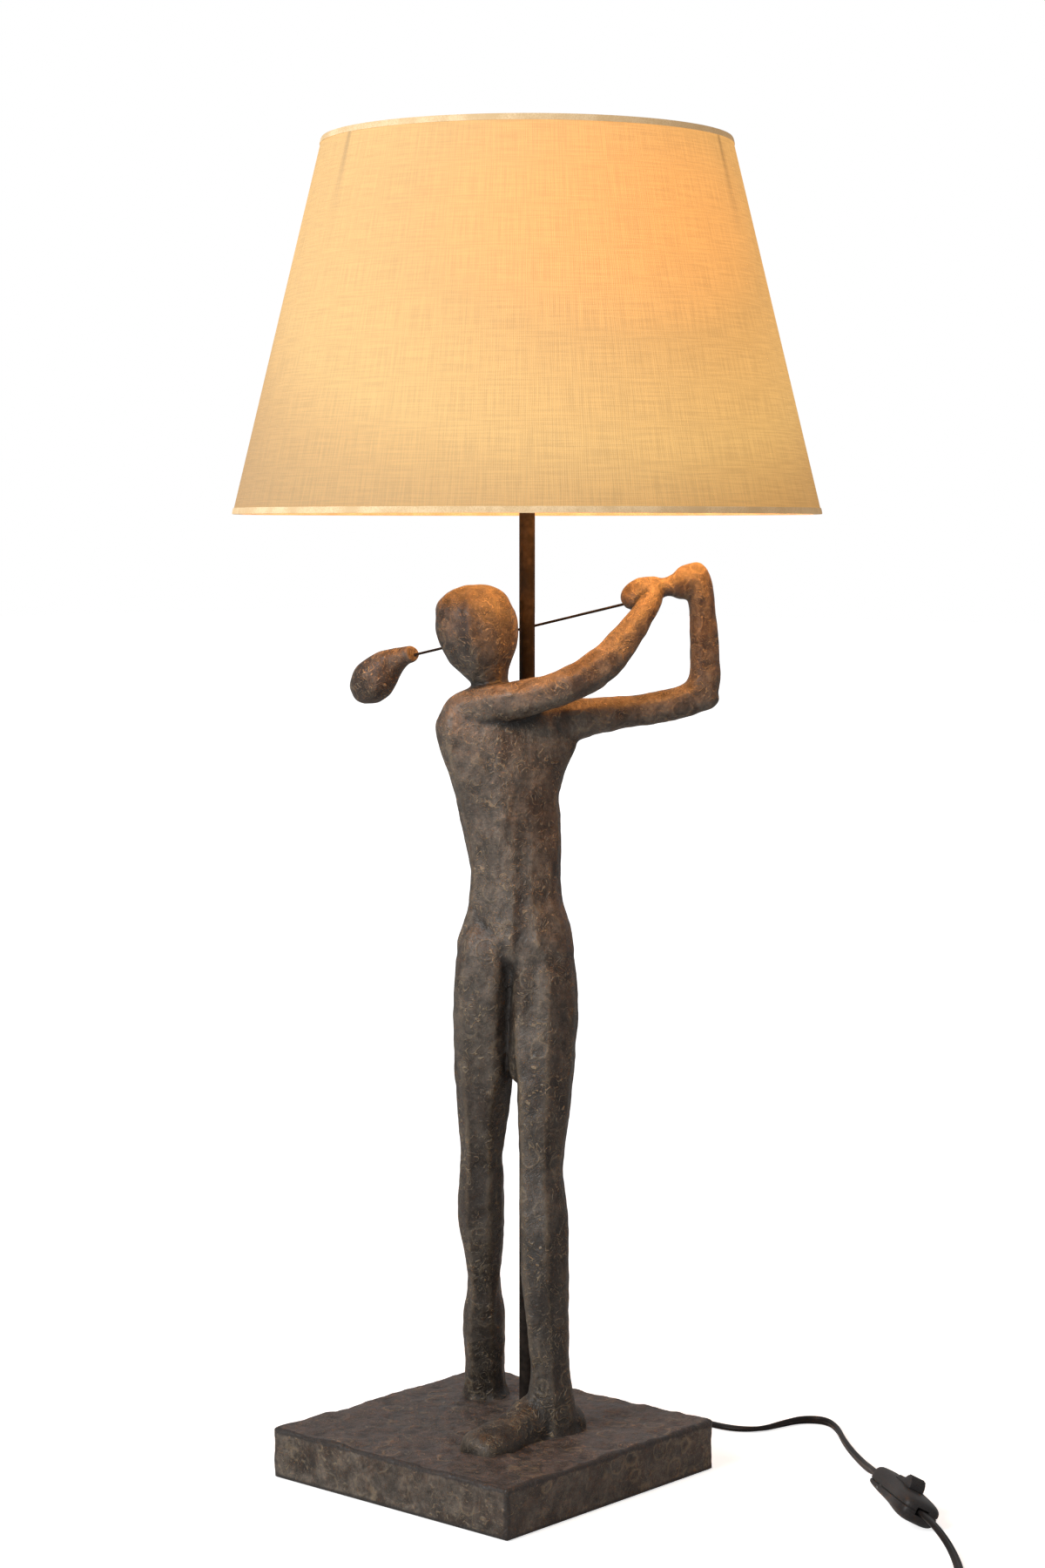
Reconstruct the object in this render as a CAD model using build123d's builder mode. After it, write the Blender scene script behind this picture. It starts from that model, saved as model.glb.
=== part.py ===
from build123d import *
import os
from math import ceil, cos, pi, radians, sin, sqrt, tan

# A table lamp with a cast figure that swings a club in front of its pole. Millimetres, +Z up.
# The origin is on the floor, below the pole and the shade, which share one axis.

# ---- plinth ----
plinth_side = 186.0
plinth_height = 27.8  # without the felt below it
plinth_wall = 12.0
plinth_top_wall = 8.5
plinth_corner = 4.0
plinth_edge = 1.6
plinth_shift_x = 14.5  # the plinth's middle, from the pole
plinth_shift_y = -45.8
felt_thickness = 1.2
felt_inset = 2.5
bottom_plate_thickness = 3.0
bottom_plate_ledge = 5.0
plate_boss_radius = 6.0
plate_screw_radius = 1.5
plate_screw_length = 11.0
screw_head_ratio = 2.0  # a screw head's radius over its shank's

# ---- pole and its fixings ----
pole_radius = 4.7
pole_wall = 1.2
pole_top = 612.0
pole_flange_radius = 7.0
pole_flange_thickness = 2.5
washer_thickness = 1.2
pole_washer_radius = 10.0
pole_nut_flats = 15.0
pole_nut_height = 4.0
pole_tail = 1.0  # pole below its nut

# ---- lampholder ----
nipple_socket_depth = 12.0
nipple_wall = 2.2
nipple_shoulder = 2.0
nipple_thread_radius = 4.9
nipple_thread_length = 11.0
holder_cap_radius = 19.0
holder_cap_height = 20.0
holder_wall = 1.9
holder_neck_height = 6.0
holder_skirt_radius = 19.6
holder_skirt_height = 26.0
holder_flange_radius = 24.0
holder_flange_thickness = 2.6
insert_height = 10.0
terminal_offset = 10.0
screw_shell_radius = 13.9
screw_shell_wall = 0.4
screw_shell_height = 20.0
centre_contact_radius = 3.2
centre_contact_height = 2.6
terminal_radius = 2.2
terminal_length = 6.0
retaining_ring_radius = 27.5
retaining_ring_height = 5.0
retaining_ring_ribs = 24

# ---- bulb ----
bulb_cap_radius = 13.2
bulb_cap_height = 25.0
bulb_glass_radius = 30.0
bulb_glass_height = 79.0
bulb_glass_wall = 0.9
bulb_neck_radius = 12.6
bulb_insulator_height = 2.4
bulb_tip_height = 1.2

# ---- shade ----
shade_bottom_radius = 175.0
shade_top_radius = 121.3
shade_height = 220.0
shade_bottom = 570.3  # height of the cover's lower edge above the floor
cover_thickness = 0.8
ring_wire_radius = 1.5
tape_thickness = 0.4
tape_band = 3.2
arm_wire_radius = 1.6
arm_directions = (15.4, 135.4, 255.4)  # degrees from +X
fitter_radius = 30.0
fitter_thickness = 1.5

# ---- figure, club and pins ----
show_turn = 41.4  # degrees from +X to the figure's own left-to-right line, as seen from its front
shaft_radius = 0.8
shaft_in_fist = 9.0
shaft_in_head = 8.0
neck_pin_radius = 2.5
shoulder_pin_radius = 2.5
foot_stud_radius = 3.0
foot_stud_rise = 30.0
foot_nut_flats = 10.0
foot_nut_height = 5.0
foot_washer_radius = 7.0

# ---- mains lead ----
lead_radius = 2.1
exit_height = 9.2
bush_length = 22.0
bush_radius = 6.0
bush_tip_radius = 3.4
bush_neck_radius = 4.0
bush_flange_thickness = 2.0
clamp_width = 24.0
clamp_depth = 9.0
clamp_position = 24.0
clamp_screw_radius = 1.4
clamp_screw_spacing = 15.0

# ---- switch on the lead ----
switch_centre = (246.0, 47.0)
switch_turn = -28.7  # degrees from +X to its long axis
switch_lean = 28.0  # degrees that its top leans to the right, seen along the lead to the lamp
switch_length = 66.0
switch_height = 17.0
switch_rear_width = 16.0
switch_belly_width = 26.0
switch_front_width = 22.0
switch_rear_drop = 3.0
switch_wall = 1.8
switch_end_wall = 5.0
switch_cord_depth = 3.5
switch_straight = 22.0  # straight lead at each end
switch_screw_position = 20.5
switch_screw_offset = 3.6
rocker_position = 3.0
rocker_half_length = 11.0
rocker_width = 9.0
rocker_depth = 2.4  # its pivot, below the switch's top
rocker_pin_radius = 1.2
rocker_pin_reach = 1.6
rocker_lug = 3.0
rocker_tilt = 13.0  # each way from level
switch_screw_radius = 1.3

# ---- coil and plug ----
coil_start = (372.0, -72.0)
coil_heading = -50.0  # degrees from +X, the way the lead arrives
coil_outer = 40.0
coil_step = 5.8  # from turn to turn
coil_half_turns_in = 7
coil_half_turns_out = 6
layer_gap = 0.6
coil_exit_reach = 43.0  # the last turn's reach, which takes the plug clear of the coil
plug_thickness = 13.8
plug_width = 35.0
plug_neck_width = 16.0
plug_length = 38.0
plug_relief_length = 22.0
plug_relief_radius = 4.6
plug_relief_tip = 2.9
plug_pin_radius = 2.0
plug_pin_length = 19.0
plug_root_radius = 1.5  # the pin inside the plug
plug_root_length = 9.5
plug_pin_spacing = 19.0

# ---- clearances ----
slip = 0.1  # round a pin, stud or tube in its hole
free = 0.4  # round a lead in its hole
turning = 0.3  # between the pieces that turn or slide past each other
running = 0.05  # round the rocker's pins

# ---- heights and places that follow ----
plinth_bottom = felt_thickness
plinth_top = plinth_bottom + plinth_height
plate_top = plinth_bottom + bottom_plate_thickness
cavity_top = plinth_top - plinth_top_wall
cavity_side = plinth_side - 2 * plinth_wall
plate_side = cavity_side + 2 * bottom_plate_ledge
plinth_back = plinth_shift_y + plinth_side / 2
pole_bottom = cavity_top - washer_thickness - pole_nut_height - pole_tail
pole_bore = pole_radius - pole_wall
holder_bottom = pole_top + nipple_shoulder
seat_height = holder_bottom + holder_cap_height
fitter_bottom = seat_height + holder_flange_thickness
shade_top = shade_bottom + shade_height
layer_height = 2 * lead_radius + layer_gap
bush_flange_radius = exit_height - plate_top - 2 * slip

STANDING = (Align.CENTER, Align.CENTER, Align.MIN)
SHOW_RIGHT = Vector(cos(radians(show_turn)), sin(radians(show_turn)), 0)
SHOW_AWAY = Vector(-sin(radians(show_turn)), cos(radians(show_turn)), 0)


def spot(across, away, height):
    """A place by its distance right of and behind the pole, as seen from the figure's front."""
    return SHOW_RIGHT * across + SHOW_AWAY * away + Vector(0, 0, height)


def save(piece, name):
    """Label a finished piece and write it."""
    piece.part.label = name
    export_step(piece.part, f"parts/{name}.step")


def rod(start, end, radius):
    """A round rod between two places, joined to the part that is being built."""
    line = end - start
    with BuildSketch(Plane(origin=start, z_dir=line)) as section:
        Circle(radius)
    extrude(section.sketch, amount=line.length)


def ring_profile(points, mode=Mode.ADD):
    """A closed outline of (radius, height) points in the XZ plane, turned about Z."""
    with BuildSketch(Plane.XZ) as section:
        with BuildLine():
            Polyline(*points, close=True)
        make_face()
    revolve(section.sketch, axis=Axis.Z, mode=mode)


os.makedirs("parts", exist_ok=True)

# ======== figure ========
# Each row is (across, away, height above the plinth, half width, half depth, turn in degrees).
TORSO = (
    (-5, -24, 217, 22, 11, -30),
    (-6, -26, 243, 32, 17, -28),
    (-5.7, -28.5, 268, 39, 19.5, -25),
    (-6.3, -28.5, 289, 36.8, 19.5, -20),
    (-5.6, -28, 303, 32, 19, -15),
    (-5.9, -27.5, 320, 27.4, 18.5, -10),
    (-6.6, -27, 336, 27.3, 18.5, -5),
    (-9, -27, 363, 30.5, 19, 0),
    (-10.5, -27.5, 383, 34.2, 20, 4),
    (-9.6, -28, 401, 39.8, 20.5, 6),
    (-11.3, -28, 417, 41.2, 20, 8),
    (-11.5, -28, 430, 36.5, 17.5, 8),
    (-13, -28, 438, 25, 13, 8),
)
FAR_LEG = (
    (-23, -28, 276, 14, 15, -15),
    (-24.2, -24, 241, 18, 18.5, -15),
    (-24, -18, 203, 17, 18, -12),
    (-24.6, -12, 176, 14.2, 16, -10),
    (-25.3, -8, 154, 12.4, 13.5, -10),
    (-26, -4, 136, 13.7, 15, -10),
    (-25.6, 0, 116, 12.6, 14, -8),
    (-24.3, 6, 89, 10.1, 11, -8),
    (-24.4, 10, 69, 11.4, 12, -8),
    (-24, 15, 31, 12.1, 13, -8),
    (-23, 18, 0, 13.2, 14, -8),
)
NEAR_LEG = (
    (12, -32, 276, 14, 14, -15),
    (13.2, -33, 241, 18.2, 17.5, -12),
    (12.6, -38, 203, 17, 17, -10),
    (11.4, -42, 176, 15.4, 16, -10),
    (9.9, -45, 157, 13.2, 14, -10),
    (10.3, -47, 141, 13.4, 14.5, -10),
    (11.7, -50, 116, 14.4, 15, -10),
    (12.4, -53, 93, 13.9, 14, -10),
    (13.2, -56, 66, 13, 13.5, -10),
    (15.3, -59, 36, 11.6, 12.5, -10),
    (15.8, -60, 19, 12.6, 14, -10),
    (16.5, -61, 0, 14.5, 16, -10),
)
HEAD = (
    (-20, -27, 432, 9, 9, 0),
    (-21, -27, 439, 9, 9.5, 0),
    (-24, -27, 446, 13.4, 14, 0),
    (-25.6, -27, 452, 17, 18, 0),
    (-28, -27, 461, 21.9, 22.5, 0),
    (-28, -27, 471, 24.6, 25, 0),
    (-28.4, -27, 480, 24.3, 25, 0),
    (-29, -27, 488, 20.8, 22, 0),
    (-28, -27, 495, 14.8, 16, 0),
    (-28, -27, 499, 8.5, 9.5, 0),
)
# Each row of an arm or the club is (across, away, height above the plinth, half height, half depth).
RIGHT_ARM = (
    (-42, -27, 424, 11.5, 12),
    (-28, -36, 430, 11.2, 12),
    (-6.7, -46, 432.5, 11.3, 11.5),
    (18.9, -51, 441, 9.9, 10.5),
    (48.5, -48, 457.5, 10.7, 10.5),
    (70, -36, 478, 8.9, 9),
    (82, -26, 492, 6.8, 7.5),
    (90, -20, 500, 5.5, 6.5),
)
LEFT_ARM = (
    (12, -26, 416, 16, 13),
    (38, -22, 419, 13.2, 12.5),
    (66, -18, 423.5, 9.9, 10.5),
    (95, -15, 430, 9.6, 10),
    (109, -14, 437, 10.4, 10),
    (110, -14, 449, 8.9, 9.2),
    (107, -15, 472, 8.3, 9),
    (104, -16, 489, 8.9, 9),
    (103, -17, 502, 7.5, 8),
    (103, -17, 509, 3.5, 4),
)
HANDS = (
    (59.5, -20.5, 488.5, 3.6, 4),
    (64, -20, 491, 7, 8),
    (73, -19.5, 495, 8.2, 9),
    (83, -19, 499, 6.6, 8),
    (92, -18.5, 502, 7, 8),
    (102, -17.5, 504, 9.4, 9),
    (108, -17, 501.5, 7, 6.5),
)
CLUB_HEAD = (
    (-65.6, 40, 456.4, 3.9, 3.9),
    (-73, 43, 453.5, 6.2, 6),
    (-79, 46, 448, 10.6, 9.5),
    (-87, 50, 443, 14.2, 12.5),
    (-95, 54, 438.5, 13.4, 12),
    (-101.5, 57.5, 434.5, 9.2, 8),
    (-104.5, 59.5, 432.5, 3.6, 3.5),
)
# The near foot, from heel to toe: (across, away, half width, rise of its top above the plinth).
FOOT = (
    (27, -55, 7, 12),
    (22, -60, 11, 24),
    (9, -71, 11.5, 20),
    (-5, -84, 11, 13),
    (-18, -96, 10.8, 9.5),
    (-27, -104, 6.5, 5),
)
FACETS = (
    (1, 0.38), (0.55, 1), (-0.5, 0.94), (-1, 0.42), (-0.94, -0.4), (-0.45, -1), (0.5, -0.92), (0.95, -0.42),
)


def facet_outline(plane, half_width, half_depth):
    """One eight-sided section of the chiselled figure."""
    with BuildSketch(plane) as section:
        Polygon(*[(half_width * x, half_depth * y) for x, y in FACETS], align=None)
    return section.sketch


def upright_form(rows):
    """A form whose sections lie level, one above the other."""
    sections = []
    for across, away, height, half_width, half_depth, turn in rows:
        width_line = SHOW_RIGHT.rotate(Axis.Z, turn)
        place = Plane(origin=spot(across, away, plinth_top + height), x_dir=width_line, z_dir=(0, 0, 1))
        sections.append(facet_outline(place, half_width, half_depth))
    loft(sections, ruled=True)


def limb_form(rows):
    """A form whose sections stand square to its own line."""
    places = [spot(across, away, plinth_top + height) for across, away, height, _, _ in rows]
    sections = []
    for index, row in enumerate(rows):
        before = places[max(index - 1, 0)]
        after = places[min(index + 1, len(places) - 1)]
        line = (after - before).normalized()
        place = Plane(origin=places[index], x_dir=SHOW_AWAY.cross(line), z_dir=line)
        sections.append(facet_outline(place, row[3], row[4]))
    loft(sections, ruled=True)


def foot_form(rows):
    """A wedge of a foot that lies flat on the plinth."""
    heel = spot(rows[0][0], rows[0][1], plinth_top)
    toe = spot(rows[-1][0], rows[-1][1], plinth_top)
    line = (toe - heel).normalized()
    sections = []
    for across, away, half_width, rise in rows:
        place = Plane(origin=spot(across, away, plinth_top), x_dir=line.cross(Vector(0, 0, -1)), z_dir=line)
        shape = ((-1, 0), (1, 0), (0.92, 0.5), (0.4, 1), (-0.45, 0.96), (-0.95, 0.45))
        side = 1 if place.y_dir.Z > 0 else -1
        with BuildSketch(place) as section:
            Polygon(*[(half_width * x, side * rise * y) for x, y in shape], align=None)
        sections.append(section.sketch)
    loft(sections, ruled=True)


def between(row, other, share):
    """A place between the middles of two sections."""
    return spot(*[a + (b - a) * share for a, b in zip(row[:2], other[:2])],
                plinth_top + row[2] + (other[2] - row[2]) * share)


far_foot_x, far_foot_y = FAR_LEG[-2][0], FAR_LEG[-1][1]
near_foot_x, near_foot_y = NEAR_LEG[-2][0], NEAR_LEG[-2][1]
STUD_PLACES = [spot(far_foot_x, far_foot_y - 2, 0), spot(near_foot_x, near_foot_y, 0)]
fist = spot(HANDS[0][0], HANDS[0][1], plinth_top + HANDS[0][2])
club_neck = spot(CLUB_HEAD[0][0], CLUB_HEAD[0][1], plinth_top + CLUB_HEAD[0][2])
shaft_line = (club_neck - fist).normalized()
shaft_start = fist - shaft_line * shaft_in_fist
shaft_end = club_neck + shaft_line * shaft_in_head
neck_pin_start = between(TORSO[-3], HEAD[0], 0.3)
neck_pin_end = between(HEAD[1], HEAD[5], 0.7)
SHOULDER_PINS = (
    (between(RIGHT_ARM[0], RIGHT_ARM[1], 0.4), between(RIGHT_ARM[1], RIGHT_ARM[2], 0.9)),
    (between(LEFT_ARM[1], LEFT_ARM[0], 1.15), between(LEFT_ARM[1], LEFT_ARM[2], 0.6)),
)

with BuildPart() as club_shaft:
    rod(shaft_start, shaft_end, shaft_radius)
save(club_shaft, "club_shaft")

with BuildPart() as neck_pin:
    rod(neck_pin_start, neck_pin_end, neck_pin_radius)
save(neck_pin, "neck_pin")

with BuildPart() as shoulder_pins:
    for start, end in SHOULDER_PINS:
        rod(start, end, shoulder_pin_radius)
save(shoulder_pins, "shoulder_pins")

with BuildPart() as pin_holes:
    rod(neck_pin_start, neck_pin_end, neck_pin_radius + slip)
    for start, end in SHOULDER_PINS:
        rod(start, end, shoulder_pin_radius + slip)
    for place in STUD_PLACES:
        rod(place, place + Vector(0, 0, plinth_top + foot_stud_rise), foot_stud_radius + slip)

with BuildPart() as far_leg:
    upright_form(FAR_LEG)

with BuildPart() as near_leg:
    upright_form(NEAR_LEG)

with BuildPart() as near_foot:
    foot_form(FOOT)

with BuildPart() as figure_body:
    upright_form(TORSO)
    add(far_leg.part)
    add(near_leg.part)
    add(near_foot.part)
    with Locations((0, 0, plinth_top)):
        Cylinder(pole_radius + free, pole_top, align=STANDING, mode=Mode.SUBTRACT)
    add(pin_holes.part, mode=Mode.SUBTRACT)
save(figure_body, "figure_body")

with BuildPart() as left_arm:
    limb_form(LEFT_ARM)

with BuildPart() as hands:
    limb_form(HANDS)

with BuildPart() as arms_solid:
    limb_form(RIGHT_ARM)
    add(left_arm.part)
    add(hands.part)
    add(figure_body.part, mode=Mode.SUBTRACT)
    add(pin_holes.part, mode=Mode.SUBTRACT)
    add(club_shaft.part, mode=Mode.SUBTRACT)

with BuildPart() as figure_arms:
    add(arms_solid.part.solids().sort_by(SortBy.VOLUME)[-1])
save(figure_arms, "figure_arms")

with BuildPart() as head_solid:
    upright_form(HEAD)
    add(figure_body.part, mode=Mode.SUBTRACT)
    add(figure_arms.part, mode=Mode.SUBTRACT)
    add(pin_holes.part, mode=Mode.SUBTRACT)

with BuildPart() as figure_head:
    add(head_solid.part.solids().sort_by(SortBy.VOLUME)[-1])
save(figure_head, "figure_head")

with BuildPart() as club_head:
    limb_form(CLUB_HEAD)
    add(club_shaft.part, mode=Mode.SUBTRACT)
save(club_head, "club_head")

# ======== plinth, its fixings and its cover ========
boss_offset = cavity_side / 2 - plate_boss_radius
screw_head_radius = plate_screw_radius * screw_head_ratio
screw_head_height = screw_head_radius - plate_screw_radius
pole_exit = Vector(0, plinth_back - plinth_wall / 2, exit_height)
clamp_bottom = exit_height - lead_radius - 1.5

with BuildPart() as base_plinth:
    with BuildSketch(Plane.XY.offset(plinth_bottom)):
        with Locations((plinth_shift_x, plinth_shift_y)):
            RectangleRounded(plinth_side, plinth_side, plinth_corner)
    extrude(amount=plinth_height)
    chamfer(base_plinth.faces().sort_by(Axis.Z)[-1].edges(), plinth_edge)
    with BuildSketch(Plane.XY.offset(plinth_bottom)):
        with Locations((plinth_shift_x, plinth_shift_y)):
            Rectangle(plate_side, plate_side)
    extrude(amount=bottom_plate_thickness, mode=Mode.SUBTRACT)
    with BuildSketch(Plane.XY.offset(plate_top)):
        with Locations((plinth_shift_x, plinth_shift_y)):
            Rectangle(cavity_side, cavity_side)
            with GridLocations(2 * boss_offset, 2 * boss_offset, 2, 2):
                Circle(plate_boss_radius, mode=Mode.SUBTRACT)
            with GridLocations(cavity_side - plate_boss_radius, cavity_side - plate_boss_radius, 2, 2):
                Rectangle(plate_boss_radius, plate_boss_radius, mode=Mode.SUBTRACT)
    extrude(amount=cavity_top - plate_top, mode=Mode.SUBTRACT)
    with BuildSketch(Plane.XY.offset(plate_top)):
        with Locations((plinth_shift_x, plinth_shift_y)):
            with GridLocations(2 * boss_offset, 2 * boss_offset, 2, 2):
                Circle(plate_screw_radius + slip)
    extrude(amount=plate_screw_length, mode=Mode.SUBTRACT)
    with BuildSketch(Plane.XY.offset(cavity_top)):
        Circle(pole_radius + slip)
        with Locations([(place.X, place.Y) for place in STUD_PLACES]):
            Circle(foot_stud_radius + slip)
    extrude(amount=plinth_top_wall, mode=Mode.SUBTRACT)
    with BuildSketch(Plane.XY.offset(plinth_top - pole_flange_thickness)):
        Circle(pole_flange_radius + slip)
    extrude(amount=pole_flange_thickness, mode=Mode.SUBTRACT)
    with BuildSketch(Plane.XY.offset(cavity_top)):
        with Locations((0, clamp_position)):
            with GridLocations(clamp_screw_spacing, 1, 2, 1):
                Circle(clamp_screw_radius + slip)
    extrude(amount=plinth_top_wall / 2, mode=Mode.SUBTRACT)
    with BuildSketch(Plane(origin=pole_exit, z_dir=(0, 1, 0))):
        Circle(bush_neck_radius + slip)
    extrude(amount=plinth_wall, both=True, mode=Mode.SUBTRACT)
save(base_plinth, "base_plinth")

with BuildPart() as plate_screws:
    with Locations((plinth_shift_x, plinth_shift_y)):
        with GridLocations(2 * boss_offset, 2 * boss_offset, 2, 2):
            with Locations((0, 0, plinth_bottom)):
                Cone(screw_head_radius, plate_screw_radius, screw_head_height,
                     align=STANDING)
            with Locations((0, 0, plinth_bottom + screw_head_height)):
                Cylinder(plate_screw_radius, plate_screw_length,
                         align=STANDING)
save(plate_screws, "plate_screws")

with BuildPart() as base_bottom_plate:
    with BuildSketch(Plane.XY.offset(plinth_bottom)):
        with Locations((plinth_shift_x, plinth_shift_y)):
            Rectangle(plate_side - 2 * slip, plate_side - 2 * slip)
    extrude(amount=bottom_plate_thickness)
    add(plate_screws.part, mode=Mode.SUBTRACT)
save(base_bottom_plate, "base_bottom_plate")

with BuildPart() as base_felt:
    with BuildSketch(Plane.XY):
        with Locations((plinth_shift_x, plinth_shift_y)):
            RectangleRounded(plinth_side - 2 * felt_inset, plinth_side - 2 * felt_inset, plinth_corner)
    extrude(amount=felt_thickness)
save(base_felt, "base_felt")

# ======== pole ========
with BuildPart() as pole_tube:
    with BuildSketch(Plane.XY.offset(pole_bottom)):
        Circle(pole_radius)
    extrude(amount=pole_top - pole_bottom)
    with BuildSketch(Plane.XY.offset(plinth_top - pole_flange_thickness)):
        Circle(pole_flange_radius)
    extrude(amount=pole_flange_thickness)
    with BuildSketch(Plane.XY.offset(pole_bottom)):
        Circle(pole_bore)
    extrude(amount=pole_top - pole_bottom, mode=Mode.SUBTRACT)
save(pole_tube, "pole_tube")


def washer(height, outer, bore):
    """A flat ring that hangs down from a height."""
    with BuildSketch(Plane.XY.offset(height)) as section:
        Circle(outer)
        Circle(bore, mode=Mode.SUBTRACT)
    extrude(section.sketch, amount=-washer_thickness)


def hex_nut(place, height, flats, depth, bore):
    """A six-sided nut below a height, with its corners eased."""
    with BuildSketch(Plane.XY.offset(height)) as section:
        with Locations((place.X, place.Y)):
            RegularPolygon(flats / 2, 6, major_radius=False)
            Circle(bore, mode=Mode.SUBTRACT)
    extrude(section.sketch, amount=-depth)


nut_top = cavity_top - washer_thickness

with BuildPart() as pole_washer:
    washer(cavity_top, pole_washer_radius, pole_radius + slip)
save(pole_washer, "pole_washer")

with BuildPart() as pole_nut:
    hex_nut(Vector(0, 0, 0), nut_top, pole_nut_flats, pole_nut_height, pole_radius + slip)
save(pole_nut, "pole_nut")

with BuildPart() as foot_washers:
    with BuildSketch(Plane.XY.offset(cavity_top)):
        with Locations([(place.X, place.Y) for place in STUD_PLACES]):
            Circle(foot_washer_radius)
            Circle(foot_stud_radius + slip, mode=Mode.SUBTRACT)
    extrude(amount=-washer_thickness)
save(foot_washers, "foot_washers")

with BuildPart() as foot_nuts:
    for place in STUD_PLACES:
        hex_nut(place, nut_top, foot_nut_flats, foot_nut_height, foot_stud_radius + slip)
save(foot_nuts, "foot_nuts")

with BuildPart() as foot_studs:
    for place in STUD_PLACES:
        foot = place + Vector(0, 0, nut_top - foot_nut_height - 1)
        rod(foot, place + Vector(0, 0, plinth_top + foot_stud_rise), foot_stud_radius)
save(foot_studs, "foot_studs")

# ======== lampholder ========
nipple_socket_radius = pole_radius + slip + nipple_wall
holder_neck_radius = holder_cap_radius - holder_wall
holder_neck_top = seat_height + holder_neck_height
skirt_bore = holder_neck_radius + slip
skirt_top = seat_height + holder_skirt_height
insert_bottom = holder_bottom + nipple_thread_length + 1
insert_top = insert_bottom + insert_height
shell_top = insert_top + screw_shell_height
contact_top = insert_top + centre_contact_height

with BuildPart() as pole_nipple:
    ring_profile((
        (pole_radius + slip, pole_top - nipple_socket_depth),
        (nipple_socket_radius, pole_top - nipple_socket_depth),
        (nipple_socket_radius, holder_bottom),
        (nipple_thread_radius, holder_bottom),
        (nipple_thread_radius, holder_bottom + nipple_thread_length),
        (pole_bore, holder_bottom + nipple_thread_length),
        (pole_bore, pole_top),
        (pole_radius + slip, pole_top),
    ))
save(pole_nipple, "pole_nipple")

with BuildPart() as holder_cap:
    ring_profile((
        (nipple_thread_radius + slip, holder_bottom),
        (holder_cap_radius - 4, holder_bottom),
        (holder_cap_radius, holder_bottom + 5),
        (holder_cap_radius, seat_height),
        (holder_neck_radius, seat_height),
        (holder_neck_radius, holder_neck_top),
        (holder_neck_radius - holder_wall, holder_neck_top),
        (holder_neck_radius - holder_wall, holder_bottom + holder_wall),
        (nipple_thread_radius + slip + holder_wall, holder_bottom + holder_wall),
        (nipple_thread_radius + slip + holder_wall, holder_bottom + nipple_thread_length),
        (nipple_thread_radius + slip, holder_bottom + nipple_thread_length),
    ))
save(holder_cap, "holder_cap")

with BuildPart() as holder_skirt:
    ring_profile((
        (skirt_bore, seat_height),
        (holder_flange_radius, seat_height),
        (holder_flange_radius, fitter_bottom),
        (holder_skirt_radius, fitter_bottom),
        (holder_skirt_radius, skirt_top),
        (skirt_bore - 1, skirt_top),
        (skirt_bore - 1, skirt_top - 1.5),
        (skirt_bore, skirt_top - 1.5),
    ))
save(holder_skirt, "holder_skirt")

insert_radius = holder_neck_radius - holder_wall - slip
with BuildPart() as holder_insert:
    with BuildSketch(Plane.XY.offset(insert_bottom)):
        Circle(insert_radius)
        with PolarLocations(terminal_offset, 2):
            Circle(terminal_radius + slip, mode=Mode.SUBTRACT)
    extrude(amount=insert_height)
save(holder_insert, "holder_insert")

with BuildPart() as holder_terminals:
    with BuildSketch(Plane.XY.offset(insert_bottom - terminal_length / 2)):
        with PolarLocations(terminal_offset, 2):
            Circle(terminal_radius)
    extrude(amount=insert_height / 2 + terminal_length / 2)
save(holder_terminals, "holder_terminals")

with BuildPart() as holder_screw_shell:
    ring_profile((
        (screw_shell_radius - screw_shell_wall, insert_top),
        (screw_shell_radius, insert_top),
        (screw_shell_radius, shell_top),
        (screw_shell_radius - screw_shell_wall, shell_top),
    ))
save(holder_screw_shell, "holder_screw_shell")

with BuildPart() as holder_centre_contact:
    with BuildSketch(Plane.XY.offset(insert_top)):
        Circle(centre_contact_radius)
    extrude(amount=centre_contact_height)
save(holder_centre_contact, "holder_centre_contact")

ring_bottom = fitter_bottom + fitter_thickness + slip
ring_bore = holder_skirt_radius + turning
with BuildPart() as retaining_ring:
    with BuildSketch(Plane.XY.offset(ring_bottom)):
        Circle(retaining_ring_radius)
        Circle(ring_bore, mode=Mode.SUBTRACT)
    extrude(amount=retaining_ring_height / 3)
    with BuildSketch(Plane.XY.offset(ring_bottom)):
        Circle((retaining_ring_radius + ring_bore) / 2)
        with PolarLocations((retaining_ring_radius + ring_bore) / 2, retaining_ring_ribs):
            Rectangle(2.0, 1.6)
        Circle(ring_bore, mode=Mode.SUBTRACT)
    extrude(amount=retaining_ring_height)
save(retaining_ring, "retaining_ring")

# ======== bulb ========
tip_bottom = contact_top + slip
insulator_bottom = tip_bottom + bulb_tip_height
bulb_cap_bottom = insulator_bottom + bulb_insulator_height
bulb_cap_top = bulb_cap_bottom + bulb_cap_height
globe_centre = bulb_cap_top + bulb_glass_height - bulb_glass_radius

with BuildPart() as bulb_tip:
    with BuildSketch(Plane.XY.offset(tip_bottom)):
        Circle(bulb_cap_radius * 0.3)
    extrude(amount=bulb_tip_height)
save(bulb_tip, "bulb_tip")

with BuildPart() as bulb_insulator:
    with BuildSketch(Plane.XY.offset(insulator_bottom)):
        Circle(bulb_cap_radius * 0.45)
    with BuildSketch(Plane.XY.offset(bulb_cap_bottom)):
        Circle(bulb_cap_radius * 0.8)
    loft()
save(bulb_insulator, "bulb_insulator")

with BuildPart() as bulb_cap:
    ring_profile((
        (0, bulb_cap_bottom),
        (bulb_cap_radius * 0.85, bulb_cap_bottom),
        (bulb_cap_radius, bulb_cap_bottom + 3),
        (bulb_cap_radius, bulb_cap_top),
        (0, bulb_cap_top),
    ))
save(bulb_cap, "bulb_cap")


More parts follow.
